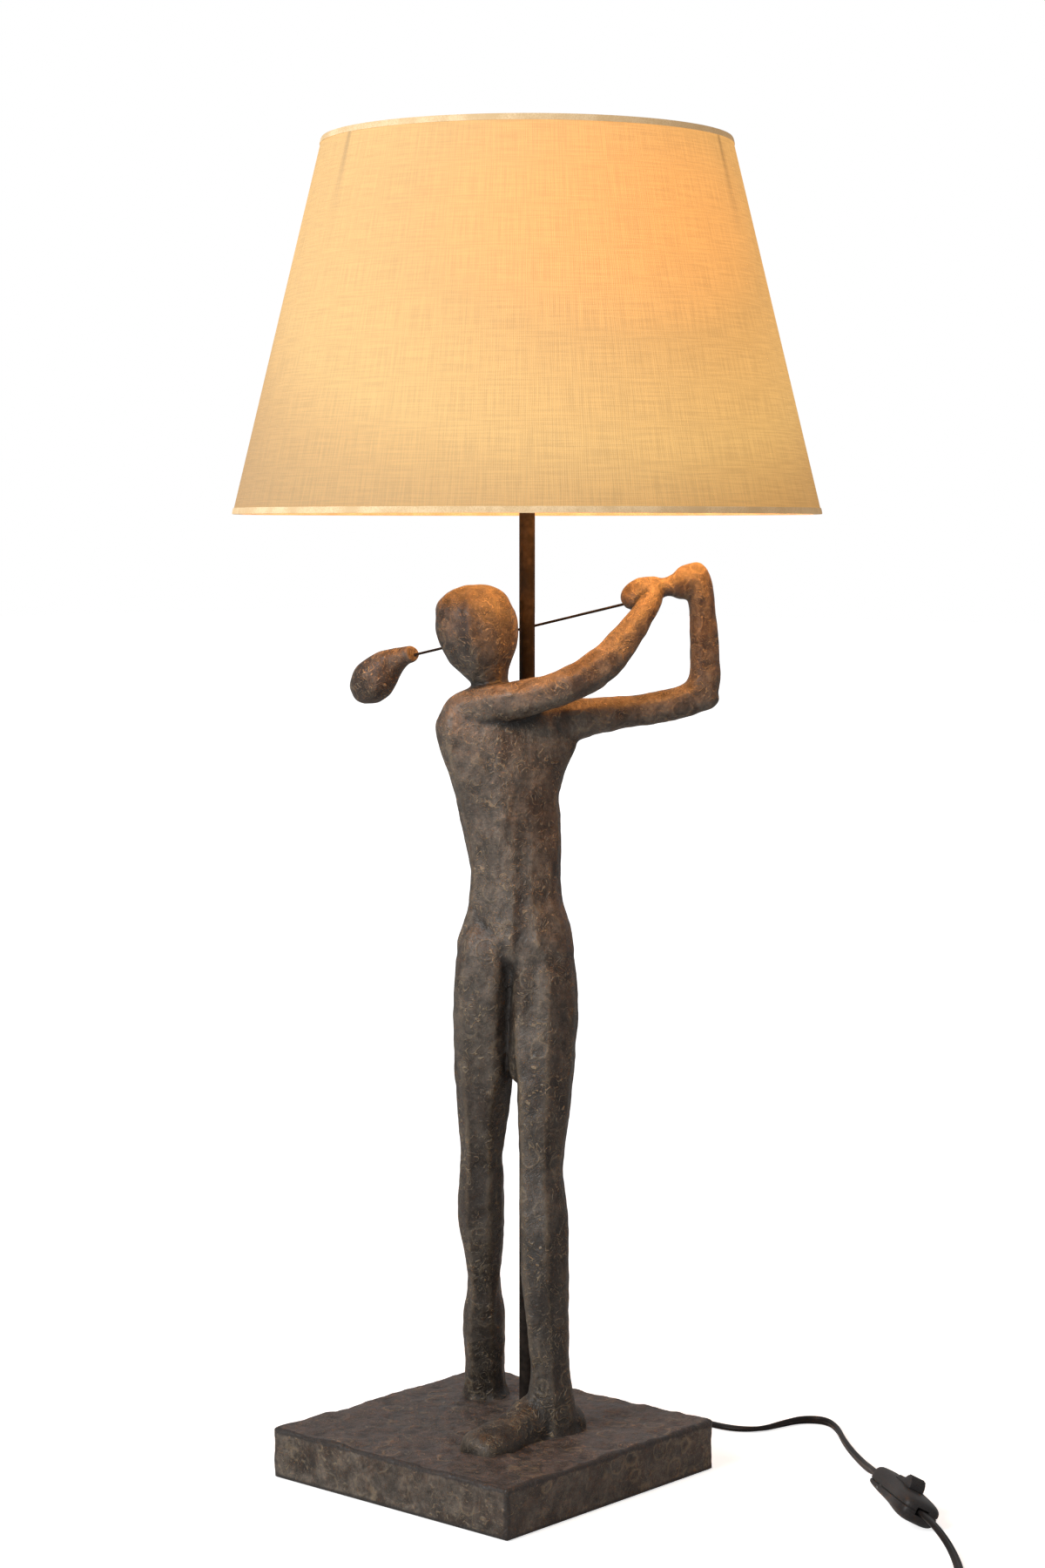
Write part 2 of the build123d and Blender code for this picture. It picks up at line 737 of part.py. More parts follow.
def globe_outline(inset):
    """Half the outline of the glass, less a wall, closed on the axis."""
    neck = bulb_neck_radius - inset
    globe = bulb_glass_radius - inset
    rise = globe_centre - bulb_cap_top
    flare = (rise**2 + neck**2 - globe**2) / (2 * (globe - neck))
    share = globe / (globe + flare)
    touch = ((neck + flare) * share, globe_centre - rise * share)
    with BuildSketch(Plane.XZ) as section:
        with BuildLine():
            base = Line((0, bulb_cap_top), (neck, bulb_cap_top))
            swell = TangentArc(base @ 1, touch, tangent=(0, 1))
            crown = TangentArc(touch, (0, globe_centre + globe), tangent=swell % 1)
            Line(crown @ 1, base @ 0)
        make_face()
    return section.sketch


with BuildPart() as bulb_glass:
    revolve(globe_outline(0), axis=Axis.Z)
    revolve(globe_outline(bulb_glass_wall), axis=Axis.Z, mode=Mode.SUBTRACT)
save(bulb_glass, "bulb_glass")

# ======== shade ========
slant = (shade_bottom_radius - shade_top_radius) / shade_height


def cover_radius(height):
    """The outer radius of the shade's cover at a height."""
    return shade_bottom_radius - slant * (height - shade_bottom)


with BuildPart() as shade_cover:
    ring_profile((
        (cover_radius(shade_bottom) - cover_thickness, shade_bottom),
        (cover_radius(shade_bottom), shade_bottom),
        (cover_radius(shade_top), shade_top),
        (cover_radius(shade_top) - cover_thickness, shade_top),
    ))
save(shade_cover, "shade_cover")

top_wire_height = shade_top - ring_wire_radius
bottom_wire_height = shade_bottom + ring_wire_radius
wire_inset = cover_thickness + ring_wire_radius + slip


def wire_ring(height):
    """A ring of round wire just inside the cover."""
    with BuildSketch(Plane.XZ) as section:
        with Locations((cover_radius(height) - wire_inset, height)):
            RegularPolygon(ring_wire_radius, 8, rotation=22.5)
    revolve(section.sketch, axis=Axis.Z)


def edge_tape(edge, inward):
    """Self-fabric tape folded over a rim: band outside, turn at the edge, band inside the wire."""
    outer = cover_radius(edge) + tape_thickness
    inner = cover_radius(edge + inward * ring_wire_radius) - wire_inset - ring_wire_radius - tape_thickness
    lean = -slant * tape_band * inward
    gap = slip / 2
    ring_profile((
        (outer, edge - inward * tape_thickness),
        (outer + lean, edge + inward * tape_band),
        (outer + lean - tape_thickness + gap, edge + inward * tape_band),
        (outer - tape_thickness + gap, edge - inward * gap),
        (inner + tape_thickness - gap - slip, edge - inward * gap),
        (inner + tape_thickness - gap - slip, edge + inward * tape_band),
        (inner - gap - slip, edge + inward * tape_band),
        (inner - gap - slip, edge - inward * tape_thickness),
    ))


with BuildPart() as shade_top_ring:
    wire_ring(top_wire_height)
save(shade_top_ring, "shade_top_ring")

with BuildPart() as shade_bottom_ring:
    wire_ring(bottom_wire_height)
save(shade_bottom_ring, "shade_bottom_ring")

with BuildPart() as shade_bottom_tape:
    edge_tape(shade_bottom, 1)
save(shade_bottom_tape, "shade_bottom_tape")

with BuildPart() as shade_fitter:
    with BuildSketch(Plane.XY.offset(fitter_bottom)):
        Circle(fitter_radius)
        Circle(holder_skirt_radius + turning, mode=Mode.SUBTRACT)
    extrude(amount=fitter_thickness)
save(shade_fitter, "shade_fitter")

arm_foot_radius = fitter_radius + arm_wire_radius - 0.6
arm_foot_height = fitter_bottom + fitter_thickness / 2
arm_end_radius = cover_radius(top_wire_height) - wire_inset - arm_wire_radius / 2
with BuildPart() as arms_rough:
    for direction in arm_directions:
        outward = Vector(cos(radians(direction)), sin(radians(direction)), 0)
        foot = outward * arm_foot_radius + Vector(0, 0, arm_foot_height)
        bend = outward * (arm_foot_radius + 6) + Vector(0, 0, arm_foot_height + 8)
        end = outward * arm_end_radius + Vector(0, 0, top_wire_height)
        rod(foot, bend, arm_wire_radius)
        rod(bend, end, arm_wire_radius)
        with Locations(bend):
            Sphere(arm_wire_radius)

with BuildPart() as shade_arms:
    add(arms_rough.part)
    add(shade_fitter.part, mode=Mode.SUBTRACT)
    add(shade_top_ring.part, mode=Mode.SUBTRACT)
save(shade_arms, "shade_arms")

with BuildPart() as shade_top_tape:
    edge_tape(shade_top, -1)
    add(shade_arms.part, mode=Mode.SUBTRACT)
save(shade_top_tape, "shade_top_tape")

# ======== mains lead inside the lamp ========
lead_turn_radius = pole_bottom - exit_height
bush_tip = plinth_back + bush_length
lead_top = insert_bottom - slip
with BuildPart() as inner_lead:
    with BuildLine() as lead_path:
        FilletPolyline(
            (0, 0, lead_top), (0, 0, exit_height), (0, bush_tip, exit_height), radius=lead_turn_radius
        )
    with BuildSketch(Plane(origin=(0, 0, lead_top), z_dir=(0, 0, -1))):
        Circle(lead_radius)
    sweep(path=lead_path.line)
save(inner_lead, "inner_lead")

with BuildPart() as cord_bush:
    with BuildSketch(Plane(origin=(0, plinth_back, exit_height), z_dir=(0, 1, 0))):
        Circle(bush_radius)
    with BuildSketch(Plane(origin=(0, bush_tip, exit_height), z_dir=(0, 1, 0))):
        Circle(bush_tip_radius)
    loft()
    with BuildSketch(Plane(origin=(0, plinth_back, exit_height), z_dir=(0, -1, 0))):
        Circle(bush_neck_radius)
    extrude(amount=plinth_wall)
    with BuildSketch(Plane(origin=(0, plinth_back - plinth_wall, exit_height), z_dir=(0, -1, 0))):
        Circle(bush_flange_radius)
    extrude(amount=bush_flange_thickness)
    with BuildSketch(Plane(origin=(0, bush_tip, exit_height), z_dir=(0, -1, 0))):
        Circle(lead_radius + slip)
    extrude(amount=2 * bush_length + plinth_wall, mode=Mode.SUBTRACT)
save(cord_bush, "cord_bush")

with BuildPart() as clamp_screws:
    with Locations((0, clamp_position)):
        with GridLocations(clamp_screw_spacing, 1, 2, 1):
            with Locations((0, 0, clamp_bottom - clamp_screw_radius)):
                Cylinder(clamp_screw_radius * screw_head_ratio, clamp_screw_radius,
                         align=STANDING)
            with Locations((0, 0, clamp_bottom)):
                Cylinder(clamp_screw_radius, cavity_top + plinth_top_wall / 2 - clamp_bottom,
                         align=STANDING)
save(clamp_screws, "clamp_screws")

with BuildPart() as cord_clamp:
    with BuildSketch(Plane.XY.offset(clamp_bottom)):
        with Locations((0, clamp_position)):
            RectangleRounded(clamp_width, clamp_depth, 2)
            with GridLocations(clamp_screw_spacing, 1, 2, 1):
                Circle(clamp_screw_radius + slip, mode=Mode.SUBTRACT)
    extrude(amount=cavity_top - clamp_bottom)
    with BuildSketch(Plane(origin=(0, clamp_position, exit_height), z_dir=(0, 1, 0))):
        Circle(lead_radius + slip / 2)
    extrude(amount=clamp_depth, both=True, mode=Mode.SUBTRACT)
save(cord_clamp, "cord_clamp")

# ======== switch on the lead ========
half_length = switch_length / 2
half_height = switch_height / 2
lean_sine = sin(radians(switch_lean))
lean_cosine = cos(radians(switch_lean))
switch_middle_height = switch_belly_width / 2 * lean_sine + half_height * lean_cosine + slip
switch_middle = Vector(*switch_centre, switch_middle_height)
switch_along = Vector(cos(radians(switch_turn)), sin(radians(switch_turn)), 0)
switch_right = Vector(-switch_along.Y, switch_along.X, 0)
switch_up = Vector(0, 0, 1) * lean_cosine + switch_right * lean_sine
SWITCH = Plane(origin=switch_middle, x_dir=switch_along, z_dir=switch_up)
SWITCH_SIDE = Plane(origin=switch_middle, x_dir=switch_along, z_dir=-SWITCH.y_dir)
SWITCH_END = Plane(origin=switch_middle, x_dir=SWITCH.y_dir, z_dir=switch_along)


def switch_plan(inset):
    """The switch seen from above: a narrow rear, a full belly and a flat front end."""
    rear = switch_rear_width / 2 - inset
    belly = switch_belly_width / 2 - inset
    front = switch_front_width / 2 - inset
    end = half_length - inset
    with BuildSketch(SWITCH) as plan:
        with BuildLine():
            rear_line = Line((-end, 0), (-end, rear))
            flank = Spline(rear_line @ 1, (6, belly), tangents=((1, 0.05), (1, 0)))
            cheek = Spline(flank @ 1, (end, front), tangents=((1, 0), (1, -0.35)))
            Line(cheek @ 1, (end, 0))
            mirror(about=Plane.XZ)
        make_face()
    return plan.sketch


def switch_profile(inset):
    """The switch seen from its side, lower at the rear."""
    high = half_height - inset
    low = high - switch_rear_drop
    end = half_length + 1
    with BuildSketch(SWITCH_SIDE) as profile:
        Polygon(
            (-end, -low), (-8, -high), (end, -high), (end, high - 1.2), (18, high), (-6, high), (-end, low),
            align=None,
        )
    return profile.sketch


rocker_pivot_height = half_height - rocker_depth
rocker_slot_half = rocker_half_length + 1.0
rocker_slot_width = rocker_width + 2 * turning
lug_outer = rocker_slot_width / 2 + rocker_lug
rocker_pin_end = rocker_slot_width / 2 + rocker_pin_reach
cord_recess_radius = lead_radius + free

with BuildPart() as switch_form:
    extrude(switch_plan(0), amount=half_height, both=True)
    extrude(switch_profile(0), amount=switch_belly_width, both=True, mode=Mode.INTERSECT)

with BuildPart() as switch_room:
    extrude(switch_plan(switch_wall), amount=half_height, both=True)
    extrude(switch_profile(switch_wall), amount=switch_belly_width, both=True, mode=Mode.INTERSECT)
    with BuildSketch(SWITCH):
        Rectangle(switch_length - 2 * switch_end_wall, switch_belly_width)
    extrude(amount=half_height, both=True, mode=Mode.INTERSECT)

SCREW_SPOTS = ((-switch_screw_position, switch_screw_offset), (-switch_screw_position, -switch_screw_offset))


def screw_spot(across, height):
    """The middle of one of the two screws near the switch's rear."""
    return SWITCH.from_local_coords((-switch_screw_position, across * switch_screw_offset, height))


with BuildPart() as switch_cuts:
    for end in (-half_length, half_length):
        inward = -1 if end > 0 else 1
        with BuildSketch(SWITCH_END.offset(end)):
            Circle(cord_recess_radius)
        extrude(amount=inward * switch_cord_depth)
    for across in (-1, 1):
        place = Plane(origin=screw_spot(across, -half_height), z_dir=switch_up)
        with BuildSketch(place):
            Circle(switch_screw_radius + slip)
        extrude(amount=half_height + 3)
        with BuildSketch(place):
            Circle(switch_screw_radius * screw_head_ratio)
        extrude(amount=3.6)


def half_space(side):
    """A block over or under the switch's parting plane."""
    with BuildSketch(SWITCH) as section:
        Rectangle(2 * switch_length, 2 * switch_belly_width)
    extrude(section.sketch, amount=side * switch_height, mode=Mode.INTERSECT)


with BuildPart() as switch_base:
    add(switch_form.part)
    add(switch_room.part, mode=Mode.SUBTRACT)
    half_space(-1)
    with BuildSketch(SWITCH.offset(-half_height + switch_wall)):
        with Locations(*SCREW_SPOTS):
            Circle(switch_screw_radius + 1.4)
    extrude(amount=half_height - switch_wall)
    add(switch_cuts.part, mode=Mode.SUBTRACT)
save(switch_base, "switch_base")

with BuildPart() as switch_cover:
    add(switch_form.part)
    add(switch_room.part, mode=Mode.SUBTRACT)
    half_space(1)
    with BuildSketch(SWITCH.offset(rocker_pivot_height - 2.4)):
        with Locations((rocker_position, 0)):
            Rectangle(7, 2 * lug_outer)
    extrude(amount=rocker_depth + 2.4 - switch_wall / 2)
    with BuildSketch(SWITCH.offset(half_height)):
        with Locations(*SCREW_SPOTS):
            Circle(switch_screw_radius + 1.4)
    extrude(amount=-half_height)
    extrude(switch_profile(0), amount=switch_belly_width, both=True, mode=Mode.INTERSECT)
    with BuildSketch(SWITCH):
        with Locations((rocker_position, 0)):
            Rectangle(2 * rocker_slot_half, rocker_slot_width)
    extrude(amount=switch_height, mode=Mode.SUBTRACT)
    with BuildSketch(SWITCH_SIDE):
        with Locations((rocker_position, rocker_pivot_height)):
            Circle(rocker_pin_radius + running)
    extrude(amount=rocker_pin_end + running, both=True, mode=Mode.SUBTRACT)
    add(switch_cuts.part, mode=Mode.SUBTRACT)
save(switch_cover, "switch_cover")

ROCKER_SIDE = (
    (-11, 2.6), (-10.4, 7.2), (-8.6, 7.8), (-3, 5.0), (3, 5.0),
    (8.6, 7.8), (10.4, 7.2), (11, 2.6), (5, -1.8), (-5, -1.8),
)
rocker_scale = rocker_half_length / ROCKER_SIDE[7][0]
with BuildPart() as switch_rocker:
    pivot = SWITCH.from_local_coords((rocker_position, 0, rocker_pivot_height))
    rocker_line = switch_along * cos(radians(rocker_tilt)) + switch_up * sin(radians(rocker_tilt))
    rocker_plane = Plane(origin=pivot, x_dir=rocker_line, z_dir=-SWITCH.y_dir)
    with BuildSketch(rocker_plane):
        Polygon(*[(x * rocker_scale, y) for x, y in ROCKER_SIDE], align=None)
    extrude(amount=rocker_width / 2, both=True)
    with BuildSketch(rocker_plane):
        Circle(rocker_pin_radius)
    extrude(amount=rocker_pin_end, both=True)
save(switch_rocker, "switch_rocker")

with BuildPart() as switch_terminals:
    with BuildSketch(SWITCH.offset(-half_height + switch_wall)):
        with Locations((-3, 4.5), (16, 4.5)):
            Rectangle(9, 4.5)
    extrude(amount=4.0)
    with BuildSketch(SWITCH.offset(-half_height + switch_wall)):
        with Locations((rocker_position, -5.5)):
            Rectangle(22, 2.4)
    extrude(amount=1.2)
save(switch_terminals, "switch_terminals")

with BuildPart() as switch_screws:
    for across in (-1, 1):
        place = Plane(origin=screw_spot(across, -half_height + 2.4), z_dir=switch_up)
        with BuildSketch(place):
            Circle(switch_screw_radius * screw_head_ratio - slip)
        extrude(amount=1.2 - slip)
        with BuildSketch(place):
            Circle(switch_screw_radius)
        extrude(amount=half_height)
save(switch_screws, "switch_screws")

# ======== mains lead outside ========
switch_rear = SWITCH_END.offset(-half_length + switch_cord_depth).origin
switch_front = SWITCH_END.offset(half_length - switch_cord_depth).origin
floor_line = lead_radius + 0.1
lead_area = 2 * sqrt(2) * lead_radius**2  # eight flats stand for the round section
heading = Vector(cos(radians(coil_heading)), sin(radians(coil_heading)), 0)
coil_place = Vector(coil_start[0], coil_start[1], floor_line)

# The lead's route over the table, chosen by hand: from the plinth to the switch, and on to the coil.
TO_SWITCH = (
    Vector(0, bush_tip, exit_height),
    Vector(0, 84, exit_height),
    Vector(6, 104, 3.0),
    Vector(22, 117, floor_line),
    Vector(46, 117, floor_line),
    Vector(70, 119, floor_line),
    Vector(83, 133, floor_line),
    Vector(87, 148, floor_line + 0.2),
    Vector(96, 158.5, floor_line + 0.2),
    Vector(109, 162.5, floor_line + 0.2),
    Vector(123, 159, floor_line),
    Vector(140, 142, floor_line),
    Vector(158, 121, floor_line),
    Vector(180, 96, 5.5),
    switch_rear - switch_along * switch_straight,
    switch_rear,
)
FROM_SWITCH = (
    switch_front,
    switch_front + switch_along * switch_straight,
    Vector(318, 0, 4.2),
    Vector(337, -26, floor_line),
    coil_place - heading * 30,
    coil_place,
)


def route_radii(points):
    """The largest arc that each corner's shorter run allows."""
    radii = []
    for before, corner, after in zip(points, points[1:], points[2:]):
        run_in = corner - before
        run_out = after - corner
        turn = radians(run_in.get_angle(run_out))
        radii.append(0.45 * min(run_in.length, run_out.length) / tan(turn / 2))
    return radii


def free_lead(points, name):
    """A stretch of lead along straight runs and tangent arcs, with its length and radii printed."""
    radii = route_radii(points)
    with BuildPart() as stretch:
        with BuildLine() as path:
            FilletPolyline(*points, radius=radii)
        with BuildSketch(Plane(origin=points[0], z_dir=points[1] - points[0])):
            RegularPolygon(lead_radius, 8)
        sweep(path=path.line)
    length = path.wires()[0].length
    expected = lead_area * length
    print(name, "radii", [round(radius, 1) for radius in radii])
    print(name, "length", round(length, 1), "volume ratio", round(stretch.part.volume / expected, 4))
    save(stretch, name)


free_lead(TO_SWITCH, "cord_to_switch")
free_lead(FROM_SWITCH, "cord_from_switch")

# ======== coil ========
# Half turns round two centres: each is half a step tighter than the last, in along the floor,
# up one layer where the spiral turns back, and out again on top.
half_step = coil_step / 2
coil_side = Vector(heading.Y, -heading.X, 0)  # from the start to the coil's middle
coil_middle = coil_place + coil_side * coil_outer


def coil_stop(index):
    """Place and direction of the lead after a number of half turns."""
    inward = min(index, coil_half_turns_in)
    outward = max(index - coil_half_turns_in - 1, 0)
    reach = coil_outer - half_step * (inward - outward)
    if outward == coil_half_turns_out:
        reach = coil_exit_reach
    height = 0 if index <= coil_half_turns_in else layer_height
    side = 1 if index % 2 == 0 else -1
    return coil_middle - coil_side * side * reach + Vector(0, 0, height), heading * side


coil_stops = [coil_stop(index) for index in range(coil_half_turns_in + coil_half_turns_out + 2)]
with BuildPart() as cord_coil:
    with BuildLine() as coil_path:
        for (start, leaving), (end, _) in zip(coil_stops, coil_stops[1:]):
            reach = (end - start).length / 2
            top = (start + end) / 2 + leaving * reach
            first = TangentArc(start, top, tangent=leaving)
            TangentArc(top, end, tangent=first % 1)
        last_place, last_way = coil_stops[-1]
        Line(last_place, last_place + last_way * 2 * lead_radius)
    with BuildSketch(Plane(origin=coil_place, z_dir=heading)):
        RegularPolygon(lead_radius, 8)
    sweep(path=coil_path.line)
save(cord_coil, "cord_coil")

coil_wire = coil_path.wires()[0]
coil_length = coil_wire.length
coil_points = [coil_wire.position_at(step / 1600) for step in range(1601)]
apart = ceil(3 * pi * lead_radius / (coil_length / 1600))
gaps = [
    (coil_points[i] - coil_points[j]).length - 2 * lead_radius
    for i in range(0, 1601, 4)
    for j in range(i + apart, 1601)
]
print("coil length", round(coil_length, 1), "least gap", round(min(gaps), 2))
print("coil volume ratio", round(cord_coil.part.volume / (lead_area * coil_length), 4))

# ======== plug ========
plug_start = last_place + last_way * 2 * lead_radius
PLUG_END = Plane(origin=plug_start, x_dir=last_way.cross(Vector(0, 0, 1)), z_dir=last_way)
PLUG_LEVEL = Plane(origin=plug_start, x_dir=last_way, z_dir=(0, 0, 1))
body_start = plug_relief_length
body_end = plug_relief_length + plug_length

with BuildPart() as plug_body:
    with BuildSketch(PLUG_END):
        Circle(plug_relief_tip)
    with BuildSketch(PLUG_END.offset(body_start)):
        Circle(plug_relief_radius)
    loft()
    with BuildSketch(PLUG_LEVEL):
        with BuildLine():
            Polyline(
                (body_start, plug_neck_width / 2),
                (body_start + plug_length * 0.35, plug_neck_width / 2 + 2),
                (body_start + plug_length * 0.6, plug_width / 2),
                (body_end, plug_width / 2),
                (body_end, -plug_width / 2),
                (body_start + plug_length * 0.6, -plug_width / 2),
                (body_start + plug_length * 0.35, -plug_neck_width / 2 - 2),
                (body_start, -plug_neck_width / 2),
                close=True,
            )
        make_face()
    extrude(amount=plug_thickness / 2 - slip, both=True)
    with BuildSketch(PLUG_END.offset(body_end)):
        with GridLocations(plug_pin_spacing, 1, 2, 1):
            Circle(plug_root_radius + slip / 2)
    extrude(amount=-plug_root_length, mode=Mode.SUBTRACT)
save(plug_body, "plug_body")

with BuildPart() as plug_pins:
    with BuildSketch(PLUG_END.offset(body_end - plug_root_length)):
        with GridLocations(plug_pin_spacing, 1, 2, 1):
            Circle(plug_root_radius)
    extrude(amount=plug_root_length)
    with BuildSketch(PLUG_END.offset(body_end)):
        with GridLocations(plug_pin_spacing, 1, 2, 1):
            Circle(plug_pin_radius)
    extrude(amount=plug_pin_length)
save(plug_pins, "plug_pins")
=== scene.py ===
from math import atan2, cos, pi, radians, sin, sqrt

import bmesh
import bpy
import numpy as np
from mathutils import Matrix, Vector, noise


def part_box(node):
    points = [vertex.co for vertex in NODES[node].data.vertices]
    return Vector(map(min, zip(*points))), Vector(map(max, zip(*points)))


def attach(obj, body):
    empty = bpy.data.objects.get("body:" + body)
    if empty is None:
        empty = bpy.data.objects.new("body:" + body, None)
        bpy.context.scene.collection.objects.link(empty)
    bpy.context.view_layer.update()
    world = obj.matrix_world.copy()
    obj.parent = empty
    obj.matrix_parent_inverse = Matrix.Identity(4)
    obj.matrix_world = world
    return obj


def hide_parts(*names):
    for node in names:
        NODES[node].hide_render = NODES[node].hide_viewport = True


bl_info = {
    "name": "Figural Table Lamp",
    "version": (1, 0, 0),
    "blender": (4, 5, 0),
    "location": "3D View > Sidebar > Lamp",
    "description": "Dresses a table lamp: cast figure, embossed plinth, fabric shade, lead and switch",
    "category": "Object",
}

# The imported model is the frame. Sizes are in metres, or in millimetres where a comment says so.
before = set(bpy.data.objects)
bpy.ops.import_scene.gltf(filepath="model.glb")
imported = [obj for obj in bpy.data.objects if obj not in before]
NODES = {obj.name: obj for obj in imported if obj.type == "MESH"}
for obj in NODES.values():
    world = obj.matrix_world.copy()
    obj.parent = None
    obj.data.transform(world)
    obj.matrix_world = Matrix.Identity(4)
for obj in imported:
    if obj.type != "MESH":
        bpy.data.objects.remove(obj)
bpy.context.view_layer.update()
MM = 0.001
PLINTH_LOW, PLINTH_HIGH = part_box("base_plinth")
COVER_LOW, COVER_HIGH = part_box("shade_cover")


# ======== settings ========
def colour(name, hex_colour, text):
    """A colour setting whose default is written as an sRGB hex value."""
    return bpy.props.FloatVectorProperty(
        name=name, description=text, subtype="COLOR", size=4, min=0, max=1, default=linear(hex_colour)
    )


def length(name, default, text):
    """A length setting in metres."""
    return bpy.props.FloatProperty(
        name=name, description=text, default=default, min=0, unit="LENGTH", precision=5
    )


def linear(hex_colour):
    """A linear RGBA colour from an sRGB hex value."""
    channels = [int(hex_colour[i:i + 2], 16) / 255 for i in (1, 3, 5)]
    return (*(c / 12.92 if c <= 0.04045 else ((c + 0.055) / 1.055) ** 2.4 for c in channels), 1.0)


class LampCastingSettings(bpy.types.PropertyGroup):
    """Sizes and colours of the cast resin figure, club and plinth."""

    grain: length("Remesh Step", 0.0013, "Spacing of the points on the figure's skin")
    swell: length("Hand Finish", 0.0012, "Height of the uneven, hand-worked waves in the castings")
    umber: colour("Umber", "#3a2f26", "Dark brown ground of the castings")
    stone: colour("Stone", "#5a5249", "Paler grey on the broad planes")
    relief: colour("Dry Brush", "#8e7e66", "Tan brushed over the raised veins")
    # This colour is both the dark wax in the creases and the painted shade in the hollows, on the head and down
    # the legs.
    wax_and_shade: colour("Cavity", "#201c18", "Dark wax left in the hollows")
    plum: colour("Plinth Top", "#544b48", "Violet-brown stain on the plinth's top")


class LampShadeSettings(bpy.types.PropertyGroup):
    """Sizes and colours of the fabric shade."""

    wall: length("Cover Thickness", 0.0008, "Fabric and backing together")
    thread: length("Thread Spacing", 0.0011, "From thread to thread of the weave")
    cloth: colour("Linen", "#857b66", "Unlit linen")
    glow: colour("Lit Linen", "#ffae59", "Light that comes through the linen")
    strength: bpy.props.FloatProperty(
        name="Glow", description="Strength of the light that comes through the linen", default=1.0,
        min=0, max=5,
    )
    bounce: bpy.props.FloatProperty(
        name="Bounce", description="Strength of the light off the lining where the bulb is closest",
        default=8.0, min=0, max=20,
    )


class LampLeadSettings(bpy.types.PropertyGroup):
    """Sizes of the flat twin lead."""

    width: length("Width", 0.0054, "Across both cores")
    thickness: length("Thickness", 0.0032, "Through one core")


class LampStageSettings(bpy.types.PropertyGroup):
    """Light and floor round the lamp."""

    sky: bpy.props.FloatProperty(
        name="Sky", description="Strength of the even light from all sides", default=0.17, min=0, max=5
    )
    key: bpy.props.FloatProperty(
        name="Softbox", description="Power of the large softbox", default=37.0, min=0, max=500,
        subtype="POWER",
    )
    bulb: bpy.props.FloatProperty(
        name="Bulb", description="Power of the lit bulb", default=1.7, min=0, max=100, subtype="POWER"
    )


# ======== small helpers ========
def add(tree, kind, inputs=None, stops=None, **options):
    """Add a shader node with its settings and links. An input that is a node takes that node's first output."""
    node = tree.nodes.new("ShaderNode" + kind)
    for name, value in options.items():
        setattr(node, name, value)
    for key, value in (inputs or {}).items():
        if isinstance(value, bpy.types.Node):
            value = value.outputs[0]
        if isinstance(value, bpy.types.NodeSocket):
            tree.links.new(value, node.inputs[key])
        else:
            node.inputs[key].default_value = value
    if stops:
        ramp = node.color_ramp.elements
        while len(ramp) < len(stops):
            ramp.new(1.0)
        for stop, (place, tint) in zip(ramp, stops):
            stop.position = place
            stop.color = tint
    return node


def blank_material(name):
    """A new material and its empty node tree."""
    material = bpy.data.materials.new(name)
    material.use_nodes = True
    material.node_tree.nodes.clear()
    return material, material.node_tree


def let_glow(material, hex_colour, strength):
    """Let a plain finish give off light."""
    shader = next(node for node in material.node_tree.nodes if node.type == "BSDF_PRINCIPLED")
    shader.inputs["Emission Color"].default_value = linear(hex_colour)
    shader.inputs["Emission Strength"].default_value = strength


def finish_with(material, *pieces):
    """Give pieces one material."""
    for piece in pieces:
        piece.data.materials.clear()
        piece.data.materials.append(material)


def take(*pieces):
    """Select only these pieces, the first of them active."""
    bpy.ops.object.select_all(action="DESELECT")
    for piece in pieces:
        piece.select_set(True)
    bpy.context.view_layer.objects.active = pieces[0]


def smooth_under(piece, degrees):
    """Shade a piece smooth, except over edges that turn more sharply than this."""
    take(piece)
    bpy.ops.object.shade_smooth_by_angle(angle=radians(degrees))


def apply_modifier(piece, kind, **settings):
    """Put a modifier on a piece and apply it."""
    take(piece)
    modifier = piece.modifiers.new(kind.title(), kind)
    for name, value in settings.items():
        setattr(modifier, name, value)
    bpy.ops.object.modifier_apply(modifier=modifier.name)


def new_object(name, data):
    """A new object in the scene for a mesh, curve, light or camera."""
    item = bpy.data.objects.new(name, data)
    bpy.context.scene.collection.objects.link(item)
    return item


def piece_from(name, shape):
    """A new piece from a finished bmesh, its faces turned outwards."""
    bmesh.ops.recalc_face_normals(shape, faces=shape.faces)
    mesh = bpy.data.meshes.new(name)
    shape.to_mesh(mesh)
    shape.free()
    return new_object(name, mesh)


def turned(name, profile):
    """A piece spun round the lamp's axis from a closed outline of radii and heights in metres."""
    shape = bmesh.new()
    points = [shape.verts.new((radius, 0, height)) for radius, height in profile]
    for start, end in zip(points, points[1:] + points[:1]):
        shape.edges.new((start, end))
    piece = piece_from(name, shape)
    take(piece)
    bpy.ops.object.mode_set(mode="EDIT")
    bpy.ops.mesh.select_all(action="SELECT")
    bpy.ops.mesh.spin(steps=SHADE_SIDES, angle=2 * pi, center=(0, 0, 0), axis=(0, 0, 1))
    bpy.ops.mesh.select_all(action="SELECT")
    bpy.ops.mesh.remove_doubles(threshold=1e-6)
    bpy.ops.mesh.normals_make_consistent(inside=False)
    bpy.ops.object.mode_set(mode="OBJECT")
    return piece


def settle(piece, body, slot, *nodes):
    """Let a finished piece ride on a body and stand for its CAD nodes, which it hides; slot is not used."""
    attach(piece, body)
    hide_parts(*nodes)


# ======== materials ========
# The plinth's stain turns violet-brown between these heights, just below its top.
PLUM_START, PLUM_FULL = 0.0262, 0.0285
# Painted shade darkens the figure down its legs between these heights, and round its head within these
# distances.
LEGS_START, LEGS_FULL = 0.34, 0.14
HEAD_MIDDLE = (-0.005, -0.04, 0.499)
HEAD_START, HEAD_FULL = 0.047, 0.028
# Where the cover and its lining are brightest, close to the leaning filament.
CLOTH_GLOW = (0.043, -0.02, 0.715)
LINING_GLOW = (0.17, -0.03, 0.62)
